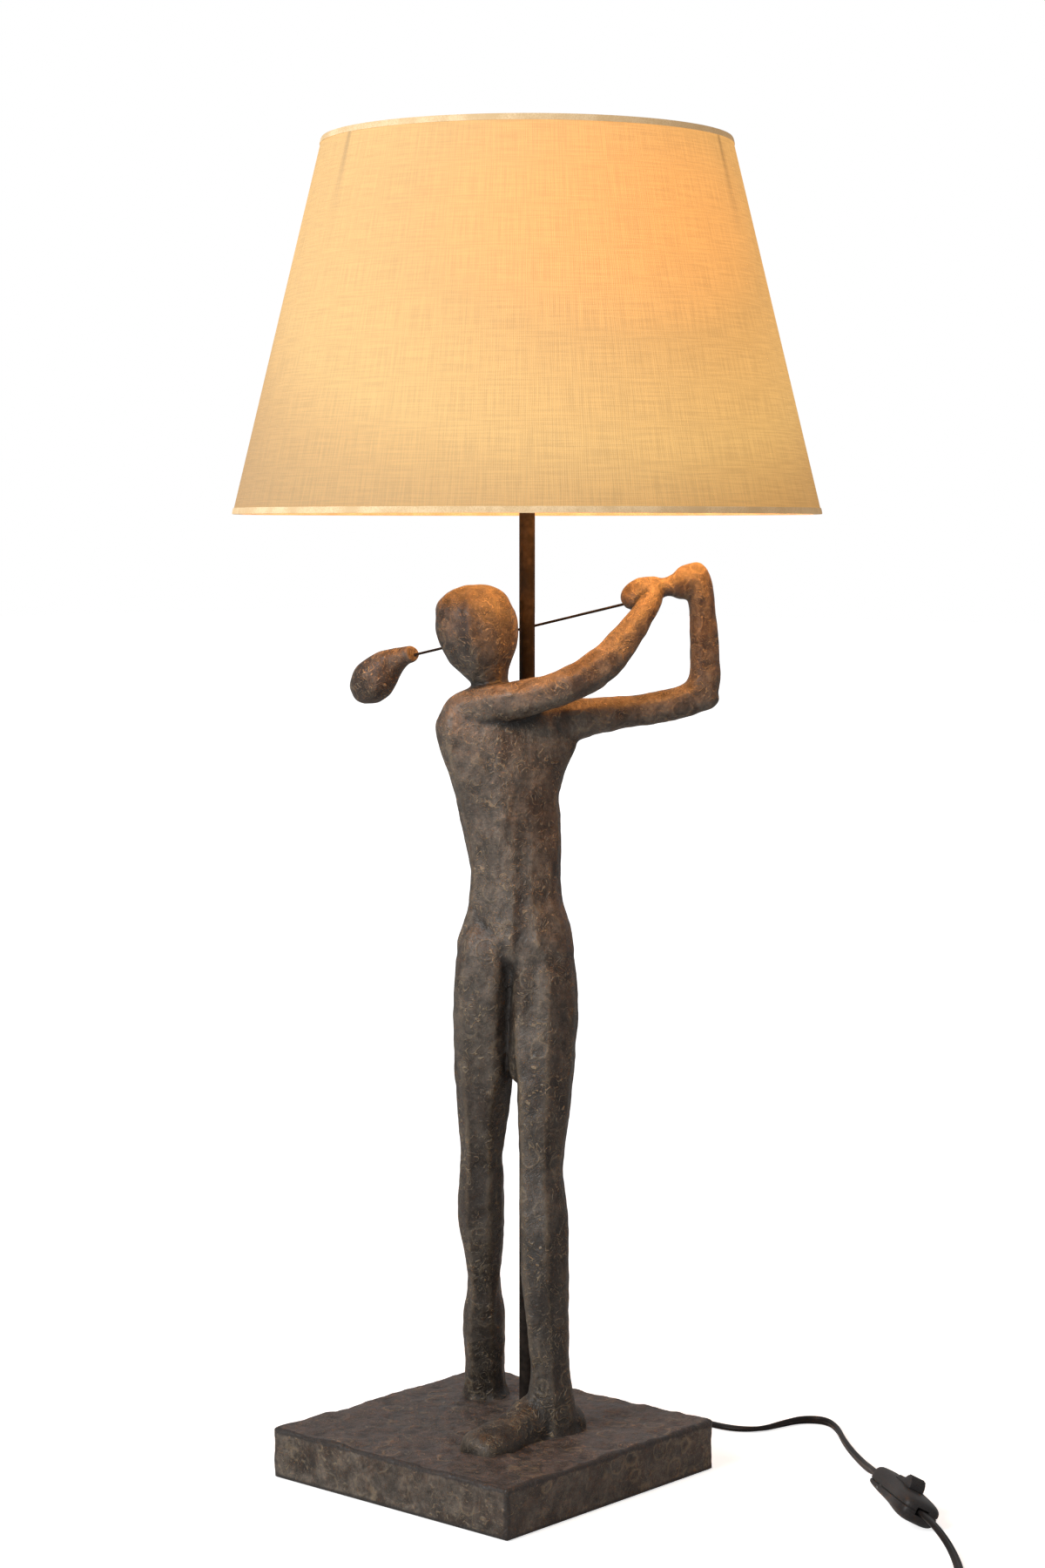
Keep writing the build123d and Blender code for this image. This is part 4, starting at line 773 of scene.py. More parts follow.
# ======== castings ========
def worked(piece, name, wave, height):
    """Lift a skin into uneven waves, as hand finishing leaves it."""
    clouds = bpy.data.textures.new(name, "CLOUDS")
    clouds.noise_scale = wave
    clouds.noise_depth = 1
    apply_modifier(piece, "DISPLACE", texture=clouds, strength=height, mid_level=0.5, texture_coords="LOCAL")


# Sections in millimetres: right of the pole, behind it, above the plinth, half width, half depth, turn.
TORSO = (
    (-8, -20, 232, 3, 3, -20), (-8, -21.5, 243, 9, 5, -22), (-7.6, -23.5, 257, 20, 8.5, -24),
    (-7.3, -26, 270, 30, 14, -22), (-7.7, -28, 280, 35.2, 18.6, -20),
    (-7.9, -28.5, 289, 34.8, 20, -18), (-7.1, -28.2, 299, 32.1, 19.5, -15), (-7.4, -28, 309, 28.9, 19, -12),
    (-7.9, -27.6, 320, 27.1, 18.6, -10), (-7.9, -27.2, 332, 27.1, 18.5, -7), (-8.6, -27, 345, 28.6, 18.6, -4),
    (-10.5, -27, 361, 30.2, 19, 0), (-12, -27.2, 372, 30.9, 19.4, 2), (-12.5, -27.5, 382, 33.2, 19.8, 4),
    (-12.3, -27.8, 392, 36.6, 20.2, 5), (-11.3, -28, 402.5, 40.9, 20.5, 6), (-11.5, -28, 412, 42.5, 20, 8),
    (-13, -28, 420, 40.4, 18.5, 8), (-14.5, -28, 428, 34.4, 16, 8), (-16.5, -28, 435.5, 23, 12, 8),
    (-18, -27.5, 441, 13, 10, 8),
)
FAR_LEG = (
    (-21.6, -28, 302, 9, 10, -15), (-22.6, -28, 291, 16.5, 15.5, -15), (-23.7, -27.6, 279, 19, 17.8, -15),
    (-24.2, -26.5, 264, 19.4, 18.6, -15),
    (-25, -25, 250, 19, 18.8, -15), (-25, -21.5, 228, 18.7, 18.7, -14), (-25.7, -18, 203, 16.9, 18, -12),
    (-26, -16, 187, 15.4, 17, -11), (-26.4, -13, 170, 13.8, 15.5, -10), (-27.2, -9, 153.7, 12.7, 13.8, -10),
    (-27.3, -6.5, 141, 13.2, 14.3, -10), (-27.8, -3, 124, 13.8, 15, -10), (-27.5, 0, 110, 13.4, 14.6, -9),
    (-26.8, 2.5, 95, 11.8, 13, -8), (-26.5, 5.5, 80, 10.2, 11.6, -8), (-26.1, 8, 69.5, 10.5, 11.5, -8),
    (-26.2, 11, 58, 12, 12.6, -8), (-26.5, 15, 40, 12.9, 13, -8), (-26.5, 19.8, 20, 12.8, 13, -8),
    (-26.3, 22.6, 9, 13.1, 13, -8), (-25.8, 24, 3, 14, 13.6, -8), (-25.5, 24.6, -0.6, 16, 15.4, -8),
    (-25.5, 24.6, -3, 16.4, 15.8, -8),
)
NEAR_LEG = (
    (8.6, -31.6, 302, 8.5, 9, -15), (9.4, -32.6, 291, 15.5, 14.4, -15), (9.9, -33, 279, 17.9, 16.5, -15),
    (10.6, -33.6, 264, 18.8, 17.4, -14),
    (11, -34, 250, 18.6, 17.6, -13), (10.4, -36, 228, 18.3, 17.6, -12), (10.6, -38, 206.5, 16.4, 17.2, -10),
    (9.9, -40, 191, 15.5, 16.5, -10), (9.2, -42, 176, 14.2, 15, -10), (8.3, -44, 161, 12.9, 13.6, -10),
    (8.1, -46, 152, 12.6, 13.2, -10), (9.2, -48, 138, 13.5, 14, -10), (9.9, -50, 128, 13.9, 14.4, -10),
    (10.2, -52, 115, 14.1, 14.4, -10), (10.5, -54, 100, 13.8, 14, -10), (11.1, -56, 85, 13.1, 13.4, -10),
    (11.9, -57, 69.5, 12.4, 13, -10), (12.7, -58, 54, 11.6, 12.6, -10), (13.7, -59.5, 39, 11.1, 12.4, -10),
    (14, -60, 28, 12.2, 13, -10), (14.4, -60, 15, 13.8, 14.4, -10), (14.8, -60, 4, 15, 15.6, -10),
    (15, -60, -0.6, 17, 17.4, -10), (15, -60, -3, 17.4, 17.8, -10),
)
# The near thigh's inner plane, from above the gap to the belly.
FORK = (
    (-3.4, -28, 203, 4, 6, 0), (-2.8, -29.6, 209, 8, 10, 0), (-1, -32, 222, 10.4, 14, 0),
    (0.3, -33.4, 245, 10.5, 16.2, 0), (0.6, -33.8, 270, 10.4, 16.8, 0), (0.4, -33.2, 292, 9.6, 16, 0),
    (0, -31, 306, 6, 10, 0),
)
HEAD = (
    (-20, -27, 430, 9.4, 9.6, 0), (-21.3, -27, 438.5, 9.4, 10, 0), (-23, -27, 443, 11.6, 12.4, 0),
    (-26.1, -27, 449, 15.2, 16, 0), (-27.9, -27, 454, 18.6, 19.5, 0), (-28.4, -27, 459, 21.2, 22, 0),
    (-29, -27, 464.3, 23.4, 24, 0), (-29.7, -27, 472, 24.8, 25, 0), (-30.2, -27, 480, 24.4, 25, 0),
    (-31, -27, 485.5, 23.2, 24, 0), (-31.2, -27, 490.5, 20.8, 21.6, 0), (-30.4, -27, 495, 16.6, 17.4, 0),
    (-30, -27, 497.8, 11.6, 12.4, 0), (-29.9, -27, 499.2, 6, 6.5, 0),
)
# Limbs: right of the pole, behind it, above the plinth, half width across the limb, half depth, turn.
RIGHT_ARM = (
    (-43, -27, 420, 10, 11, 0), (-38, -29.5, 424, 12, 12, 0), (-26, -36.5, 428.5, 12, 12, 0),
    (-8.2, -45.5, 432, 11.3, 11.6, 0), (6, -49, 435.5, 10.8, 11, 0), (17.6, -50.5, 439, 10.5, 10.6, 0),
    (33, -51, 446, 10.8, 10.6, 0), (40, -50, 450.5, 11.1, 10.6, 0), (48, -48, 457, 10.6, 10.4, 0),
    (58.5, -42, 469.5, 8.8, 9.8, 0), (67, -35.5, 481, 7.6, 8.8, 0), (72.4, -29, 489, 6.8, 8, 0),
    (74.4, -23, 494.5, 5.6, 7, 0), (74.6, -19, 498, 3.6, 5, 0),
)
LEFT_ARM = (
    (2, -27, 415, 17, 13, 0), (18, -25, 418, 15.2, 13, 0), (29, -23.5, 420.2, 13, 12.6, 0),
    (36, -22.5, 421.2, 11.8, 12, 0), (44, -21.5, 422.3, 10.9, 11.4, 0), (54, -20, 423.6, 10, 10.8, 0),
    (66, -18, 425, 9.5, 10.4, 0),
    (82, -16.5, 427.6, 9.7, 10.2, 0), (94, -15.5, 430.8, 9.9, 10.2, 0), (101.5, -15, 434.6, 10.4, 10.2, 0),
    (105, -14.5, 440.5, 10.2, 10, 0), (105.9, -14.5, 448, 9.2, 9.6, 0), (105.6, -14.5, 458, 8.9, 9.2, 0),
    (105, -15, 470, 8.6, 9, 0), (104.2, -15.5, 482, 8.1, 9, 0), (103, -16.5, 491, 8.1, 9, 0),
    (101.6, -17, 499, 8, 8.4, 0), (100.8, -17, 505, 7.2, 7.4, 0), (100.3, -17, 510, 4.8, 5, 0),
    (100.2, -17, 512.6, 2, 2.4, 0),
)
# The elbow's square corner.
ELBOW = (
    (88, -16, 429.6, 8, 9, 0), (96, -15.5, 431.6, 9.3, 9.6, 0), (103, -15, 433, 9.3, 9.4, 0),
    (109, -15, 434.4, 8.4, 8.4, 0), (112, -15, 435, 6, 6.4, 0), (113.2, -15, 435.4, 3, 3.6, 0),
)
HANDS = (
    (57, -20.5, 487.6, 2.8, 3, 0), (59.5, -20.5, 489.4, 6.6, 6.4, 0), (63.5, -20, 491.6, 9.2, 8.4, 0),
    (69, -20, 494.2, 9.6, 9, 0), (75, -19.5, 496.6, 8, 8.4, 0), (80, -19.5, 497.6, 5.6, 7, 0),
    (84, -19, 498.4, 5.6, 7, 0), (90, -18.5, 499.4, 9, 8, 0), (96, -17.8, 501.4, 10.4, 8.4, 0),
    (101, -17, 502, 9, 8, 0), (105, -17, 501, 6, 6.4, 0), (107, -17, 500, 3, 4, 0),
)
CLUB = (
    (-69.2, 40.6, 456.5, 4.2, 4.2, 0), (-70, 41.2, 456.2, 5.4, 5.4, 0), (-74.5, 43.6, 454.8, 5.8, 5.8, 0),
    (-79.8, 46, 452.3, 7.4, 7.2, 0), (-86.2, 49, 447.8, 10.8, 10.2, 0), (-92.6, 52.2, 441.4, 13.4, 12.4, 0),
    (-98.8, 55.4, 435.4, 12.4, 11.6, 0), (-103.6, 57.9, 431.2, 8.2, 8, 0), (-105.8, 59, 429.4, 3.6, 3.6, 0),
)
# The near foot from heel to toe: right of the pole, behind it, half width, rise.
FOOT = (
    (31, -43, 5, 8), (27, -46.5, 10.4, 15), (18, -54, 12.6, 24), (9, -61.5, 12.4, 26), (-3.2, -71, 12.6, 20),
    (-12, -81, 13.8, 15.2), (-18.6, -90, 14.8, 13.4), (-24, -97.6, 15.2, 12.6), (-28, -103, 14.2, 11.4),
    (-30.4, -106.4, 11.6, 9), (-31.6, -108, 7.6, 6),
)
# Eight-sided sections: x to the picture's right, y away. The torso has a keel in front, and each leg its own
# planes. SOLE is the foot's section, flat below.
BLOCK = (
    (1, 0.38), (0.55, 1), (-0.5, 0.94), (-1, 0.42), (-0.94, -0.4), (-0.45, -1), (0.5, -0.92), (0.95, -0.42),
)
KEEL = (
    (1, 0.38), (0.55, 1), (-0.5, 0.94), (-1, 0.42), (-0.9, -0.5), (-0.12, -1.02), (0.56, -0.84),
    (0.96, -0.38),
)
NEAR_BLOCK = (
    (1, 0.4), (0.55, 1), (-0.5, 0.96), (-0.97, 0.45), (-0.99, -0.3), (-0.8, -0.92), (0.3, -1.02),
    (0.96, -0.4),
)
FAR_BLOCK = (
    (0.97, 0.4), (0.55, 1), (-0.5, 0.94), (-1, 0.42), (-0.97, -0.38), (-0.52, -0.98), (0.6, -0.98),
    (0.97, -0.3),
)
SOLE = (
    (1.02, 0), (1.03, 0.3), (0.94, 0.62), (0.7, 0.88), (0.3, 1), (-0.25, 0.98), (-0.66, 0.82), (-0.92, 0.56),
    (-1.03, 0.28), (-1.04, 0),
)
# The figure is described as seen from its front, this far round from the plinth's side.
SHOW_TURN = radians(41.4)
SHOW_RIGHT = Vector((cos(SHOW_TURN), sin(SHOW_TURN), 0))
SHOW_AWAY = Vector((-sin(SHOW_TURN), cos(SHOW_TURN), 0))
# Points round a section, rows from one given row to the next, and depth of the feet in the plinth's skin.
RING = 40
ROWS_BETWEEN = 7
SUNK = 3
# The flutes in the body fade out over this height, up to the arms.
FLUTES_FADE_FROM, FLUTES_FADE_OVER = 0.42, 0.04
# The body's upright forms and limbs, each with its rows, its section and how flat its planes are.
BODY_UPRIGHTS = (
    (TORSO, KEEL, 1.0), (FAR_LEG, FAR_BLOCK, 1.0), (NEAR_LEG, NEAR_BLOCK, 1.0), (FORK, BLOCK, 0.3),
    (HEAD, KEEL, 0.85),
)
BODY_LIMBS = ((RIGHT_ARM, BLOCK, 0.7), (LEFT_ARM, BLOCK, 0.7), (ELBOW, BLOCK, 0.7), (HANDS, BLOCK, 0.3))


def spot(across, away, height):
    """A place in the row frame from distances as seen from the figure's front, in millimetres."""
    return (SHOW_RIGHT * across + SHOW_AWAY * away) * MM + Vector((0, 0, PLINTH_HIGH.z + height * MM))


def eased(rows, steps=ROWS_BETWEEN):
    """Rows filled in between with a smooth line through them."""
    filled = []
    for index in range(len(rows) - 1):
        a, b, c, d = (rows[max(0, min(len(rows) - 1, index + k))] for k in (-1, 0, 1, 2))
        for step in range(steps):
            t = step / steps
            filled.append(tuple(
                q + t * (r - p) / 2 + t * t * (p - 2.5 * q + 2 * r - s / 2)
                + t ** 3 * (1.5 * (q - r) + (s - p) / 2)
                for p, q, r, s in zip(a, b, c, d)
            ))
    return filled + [rows[-1]]


def worked_outline(block, planes):
    """Points round a section: an ellipse pressed towards flat planes by the given share."""
    outline = []
    for step in range(RING):
        turn = 2 * pi * step / RING
        ray = Vector((cos(turn), sin(turn)))
        # The closest place where the ray meets a side of the section.
        reach = 9.0
        for start, end in zip(block, block[1:] + block[:1]):
            start = Vector(start)
            edge = Vector(end) - start
            normal = Vector((edge.y, -edge.x))
            if abs(normal.dot(ray)) > 1e-6:
                meet = normal.dot(start) / normal.dot(ray)
                along = (ray * meet - start).dot(edge)
                if 0 < meet < reach and -0.01 <= along <= edge.length_squared * 1.01:
                    reach = meet
        outline.append(ray * (1 + (reach - 1) * planes))
    return outline


def add_skin(shape, rings):
    """Close rings of points into one skin."""
    loops = [[shape.verts.new(point) for point in ring] for ring in rings]
    for ring, after in zip(loops, loops[1:]):
        for k in range(len(ring)):
            n = (k + 1) % len(ring)
            shape.faces.new((ring[k], ring[n], after[n], after[k]))
    shape.faces.new(reversed(loops[0]))
    shape.faces.new(loops[-1])


def add_upright(shape, rows, block, planes):
    """A form of level sections, whose half widths are those of its outline from the front."""
    outline = worked_outline(block, planes)
    rings = []
    for across, away, height, half_width, half_depth, turn in eased(rows):
        turn = radians(turn)
        shown = max(half_width ** 2 - (half_depth * sin(turn)) ** 2, (0.6 * half_width) ** 2)
        wide = sqrt(shown) / cos(turn)
        x_line = SHOW_RIGHT * cos(turn) + SHOW_AWAY * sin(turn)
        y_line = SHOW_AWAY * cos(turn) - SHOW_RIGHT * sin(turn)
        middle = spot(across, away, height)
        rings.append([middle + (x_line * p.x * wide + y_line * p.y * half_depth) * MM for p in outline])
    add_skin(shape, rings)


def add_limb(shape, rows, block, planes):
    """A form whose sections stand square to its own line."""
    outline = worked_outline(block, planes)
    filled = eased(rows)
    places = [spot(*row[:3]) for row in filled]
    rings = []
    for index, row in enumerate(filled):
        line = (places[min(index + 1, len(places) - 1)] - places[max(index - 1, 0)]).normalized()
        x_line = SHOW_AWAY.cross(line).normalized()
        y_line = line.cross(x_line)
        rings.append([places[index] + (x_line * p.x * row[3] + y_line * p.y * row[4]) * MM for p in outline])
    add_skin(shape, rings)


def add_foot(shape, rows):
    """A broad wedge of a foot that lies flat on the plinth."""
    filled = eased(rows)
    line = (spot(*rows[-1][:2], 0) - spot(*rows[0][:2], 0)).normalized()
    side = line.cross(Vector((0, 0, 1)))
    rings = []
    for across, away, half_width, rise in filled:
        middle = spot(across, away, -SUNK)
        rings.append([
            middle + (side * x * half_width + Vector((0, 0, 1)) * y * (rise + SUNK)) * MM for x, y in SOLE
        ])
    add_skin(shape, rings)


def fluted(piece, wide, tall, deep):
    """Long ridges and grooves down the body, which fade out towards the arms and head."""
    moves = []
    for vertex in piece.data.vertices:
        place = vertex.co
        ridge = abs(noise.noise(Vector((place.x / wide, place.y / wide, place.z / tall))))
        share = 1 - 0.75 * max(0.0, min(1.0, (place.z - FLUTES_FADE_FROM) / FLUTES_FADE_OVER))
        moves.append(vertex.normal * ((0.16 - ridge) * deep * share))
    for vertex, move in zip(piece.data.vertices, moves):
        vertex.co += move


class LAMP_OT_figure(bpy.types.Operator):
    """Cast the faceless figure and the head of its club"""

    bl_idname = "lamp.figure"
    bl_label = "Figure"

    def execute(self, context):
        settings = context.scene.lamp_casting
        # The figure's resin carries painted shade on its head and down its legs.
        resin = cast_resin(
            "cast_resin_dry_brushed", settings, brushed=0.85, medals=0.45, stretch=(1.0, 1.0, 0.35),
            crest=(0.35, "#7d6d58"), tops=painted_shade_legs_head,
        )
        body = bmesh.new()
        for rows, block, planes in BODY_UPRIGHTS:
            add_upright(body, rows, block, planes)
        for rows, block, planes in BODY_LIMBS:
            add_limb(body, rows, block, planes)
        add_foot(body, FOOT)
        head = bmesh.new()
        add_limb(head, CLUB, BLOCK, 0.25)
        figure, club = piece_from("figure_casting", body), piece_from("club_casting", head)
        swell = settings.swell
        for piece, step, rounds in ((figure, settings.grain, 8), (club, settings.grain * 0.6, 6)):
            apply_modifier(piece, "REMESH", mode="VOXEL", voxel_size=step, use_smooth_shade=True)
            apply_modifier(piece, "SMOOTH", factor=0.5, iterations=rounds)
            worked(piece, "hand_waves", wave=0.022, height=swell)
            worked(piece, "hand_dents", wave=0.008, height=swell * 0.7)
            fluted(piece, wide=0.017, tall=0.09, deep=swell * 1.7)
            mark_form(piece, rounds=3, broad=70)
            finish_with(resin, piece)
        settle(figure, "lamp", "resin", "figure_body", "figure_arms", "figure_head")
        settle(club, "lamp", "resin", "club_head")
        return {"FINISHED"}


# The plinth's casting stands this far outside the solid at its sides and on top.
PLINTH_SIDES, PLINTH_TOP = 0.0004, 0.0006
# It starts a little low, so that the remesh leaves its foot sharp, and is cut off at this height at the end.
PLINTH_FOOT, FOOT_LIFT = -0.0006, 0.0002
# Its underside from outside in: how far in each step begins, and how high it goes. The rim's step goes up to
# the solid's foot.
RIM_IN = 0.0023
LEDGE_IN, LEDGE_UP = 0.0047, 0.003
HOLLOW_IN, HOLLOW_UP = 0.005, 0.0163
# Rounding of the corners at the picture's left and right, and of the outer edges, in metres and segments.
CORNER_ROUND, EDGE_ROUND = (0.0035, 4), (0.0011, 2)
PLINTH_GRAIN = 0.0015
# Its wavy skin: the name, kind, size and height of each pattern.
PLINTH_WAVES = (
    ("plinth_waves", "CLOUDS", 0.03, 0.0026), ("plinth_dents", "VORONOI", 0.016, 0.0014),
    ("plinth_dimples", "CLOUDS", 0.007, 0.0009),
)
# The skin is this thick, and the waves grow over this height above the floor.
SKIN_DEPTH, WAVES_RISE = 0.004, 0.005


class LAMP_OT_plinth(bpy.types.Operator):
    """Cast the square plinth with its wavy edges, rounded corners and hollow underside"""

    bl_idname = "lamp.plinth"
    bl_label = "Plinth"

    def execute(self, context):
        settings = context.scene.lamp_casting
        resin = cast_resin(
            "cast_resin_embossed", settings, brushed=0.66, medals=0.85, stretch=(1.0, 1.0, 1.0),
            crest=(0.85, "#26211e"), tops=plum_top,
        )
        # Its outer rim hides the felt, which is 2.5 mm further in.
        low = PLINTH_LOW - Vector((PLINTH_SIDES, PLINTH_SIDES, 0))
        high = PLINTH_HIGH + Vector((PLINTH_SIDES, PLINTH_SIDES, PLINTH_TOP))
        foot = Vector((low.x, low.y, PLINTH_FOOT))
        middle = (foot + high) / 2
        outside = (high.x - low.x) / 2 - MM
        bpy.ops.object.select_all(action="DESELECT")
        bpy.ops.mesh.primitive_cube_add(size=1, location=middle, scale=high - foot)
        plinth = context.object
        bpy.ops.object.transform_apply(location=True, rotation=True, scale=True)
        bpy.ops.object.mode_set(mode="EDIT")
        bpy.ops.mesh.select_all(action="DESELECT")
        bpy.ops.object.mode_set(mode="OBJECT")
        for face in plinth.data.polygons:
            face.select = face.normal.z < -0.5
        bpy.ops.object.mode_set(mode="EDIT")
        # The rim, the ledge that the bottom plate sits in, then the hollow above it.
        for inward, upward in (
            (RIM_IN, low.z - foot.z), (LEDGE_IN, LEDGE_UP), (HOLLOW_IN, HOLLOW_UP),
        ):
            bpy.ops.mesh.inset(thickness=inward)
            bpy.ops.mesh.extrude_region_move(TRANSFORM_OT_translate={"value": (0, 0, upward)})
        bpy.ops.object.mode_set(mode="OBJECT")

        def edge_on(corner):
            """Whether a place, seen from the plinth's middle, is on its outside."""
            return max(abs(corner.x), abs(corner.y)) > outside

        def side_corner(start, end):
            """Whether an edge is the upright corner at the picture's left or right."""
            return start.x * start.y > 0 and edge_on(start) and abs(end.z - start.z) > 0.01

        def outer_edge(start, end):
            """Whether an edge is on the outside at both ends."""
            return edge_on(start) and edge_on(end)

        # The corners at the picture's left and right are rounded, the front and back ones crisp.
        for (width, count), chosen in ((CORNER_ROUND, side_corner), (EDGE_ROUND, outer_edge)):
            shape = bmesh.new()
            shape.from_mesh(plinth.data)
            edges = [
                edge for edge in shape.edges
                if chosen(*(vert.co - middle for vert in edge.verts)) and edge.calc_face_angle(0) > 0.5
            ]
            bmesh.ops.bevel(shape, geom=edges, offset=width, segments=count, profile=0.5, affect="EDGES")
            shape.to_mesh(plinth.data)
            shape.free()
        apply_modifier(plinth, "REMESH", mode="VOXEL", voxel_size=PLINTH_GRAIN, use_smooth_shade=True)
        apply_modifier(plinth, "SMOOTH", factor=0.5, iterations=1)
        skin = plinth.vertex_groups.new(name="skin")
        for vertex in plinth.data.vertices:
            place = vertex.co
            inside = all(low[i] + SKIN_DEPTH < place[i] < high[i] - SKIN_DEPTH for i in (0, 1))
            if not (inside and place.z < high.z - SKIN_DEPTH):
                share = max(0.0, min(1.0, (place.z - low.z) / WAVES_RISE))
                skin.add([vertex.index], share, "REPLACE")
        for name, kind, wave, height in PLINTH_WAVES:
            cast = bpy.data.textures.new(name, kind)
            cast.noise_scale = wave
            apply_modifier(
                plinth, "DISPLACE", texture=cast, strength=height, mid_level=0.55, texture_coords="LOCAL",
                vertex_group="skin",
            )
        # The waves leave its foot just above the floor.
        for vertex in plinth.data.vertices:
            vertex.co.z = max(vertex.co.z, FOOT_LIFT)
        mark_form(plinth, rounds=1, broad=14)
        plinth.name = plinth.data.name = "plinth_casting"
        finish_with(resin, plinth)
        settle(plinth, "lamp", "plinth_resin", "base_plinth")
        return {"FINISHED"}


# ======== shade ========
# Sides of the shade's round pieces, rings up the cover, and the cover's outer radius at its top.
SHADE_SIDES = 192
COVER_RINGS = 44
COVER_TOP_RADIUS = 0.1213
# The cloth's pattern is laid out at the cover's mean radius, and along its slope.
CLOTH_RADIUS, CLOTH_SLOPE = 0.148, 1.0294
# A tape's folded section in millimetres: out from the cover, and in from its edge.
TAPE_SECTION = (
    (0.1, 3.4), (0.45, 3.3), (0.55, 2.6), (0.5, 0.6), (0.2, -0.3), (-0.6, -0.4), (-2.2, -0.4),
    (-4.2, -0.3), (-4.5, 0.6), (-4.5, 3.2), (-4.2, 3.3), (-4.1, 0.9), (-3.4, 0.05), (0.05, 0.0),
)


def cover_radius(height):
    """The cover's outer radius at a height."""
    share = (height - COVER_LOW.z) / (COVER_HIGH.z - COVER_LOW.z)
    return COVER_HIGH.x + (COVER_TOP_RADIUS - COVER_HIGH.x) * share


class LAMP_OT_shade(bpy.types.Operator):
    """Make the shade's linen cover and the tapes on its edges"""

    bl_idname = "lamp.shade"
    bl_label = "Shade"

    def execute(self, context):
        settings = context.scene.lamp_shade
        linen = lit_linen(settings)
        bottom, top = COVER_LOW.z, COVER_HIGH.z
        bpy.ops.object.select_all(action="DESELECT")
        bpy.ops.mesh.primitive_circle_add(
            vertices=SHADE_SIDES, radius=cover_radius(bottom), location=(0, 0, bottom)
        )
        cover = context.object
        bpy.ops.object.transform_apply(location=True, rotation=True, scale=True)
        bpy.ops.object.mode_set(mode="EDIT")
        bpy.ops.mesh.select_all(action="SELECT")
        rise = (top - bottom) / COVER_RINGS
        for ring in range(COVER_RINGS):
            ratio = cover_radius(bottom + (ring + 1) * rise) / cover_radius(bottom + ring * rise)
            bpy.ops.mesh.extrude_edges_move(TRANSFORM_OT_translate={"value": (0, 0, rise)})
            bpy.ops.transform.resize(value=(ratio, ratio, 1))
        bpy.ops.mesh.select_all(action="SELECT")
        bpy.ops.mesh.normals_make_consistent(inside=False)
        bpy.ops.object.mode_set(mode="OBJECT")
        mesh = cover.data
        cloth = mesh.uv_layers.new(name="cloth")
        for face in mesh.polygons:
            corners = [mesh.vertices[mesh.loops[loop].vertex_index].co for loop in face.loop_indices]
            turns = [atan2(corner.y, corner.x) for corner in corners]
            wrap = max(turns) - min(turns) > pi
            for loop, corner, turn in zip(face.loop_indices, corners, turns):
                turn += 2 * pi if wrap and turn < 0 else 0
                cloth.data[loop].uv = (turn * CLOTH_RADIUS, (corner.z - bottom) * CLOTH_SLOPE)
        finish_with(linen, cover)
        cover.data.materials.append(lit_lining(settings))
        apply_modifier(cover, "SOLIDIFY", thickness=settings.wall, offset=-1, material_offset=1)
        smooth_under(cover, 40)
        cover.name = cover.data.name = "shade_linen_cover"
        settle(cover, "shade", "linen", "shade_cover")
        # Folded linen tape, matt and fine-ribbed, that the lit cover shines through.
        weave = plain_finish(
            "linen_tape_folded", "#dcc9a6", "#bfa983", metallic=0.0, roughness=0.85, grain=1300.0, bump=0.0002,
            specular=0.2,
        )
        let_glow(weave, "#ffc98a", 0.3)
        for name, node, edge, inward in (
            ("shade_hem_bottom", "shade_bottom_tape", bottom, 1),
            ("shade_hem_top", "shade_top_tape", top, -1),
        ):
            profile = []
            for out, along in TAPE_SECTION:
                height = edge + inward * along * MM
                profile.append((cover_radius(height) + out * MM, height))
            tape = turned(name, profile)
            smooth_under(tape, 50)
            finish_with(weave, tape)
            settle(tape, "shade", "tape", node)
        return {"FINISHED"}


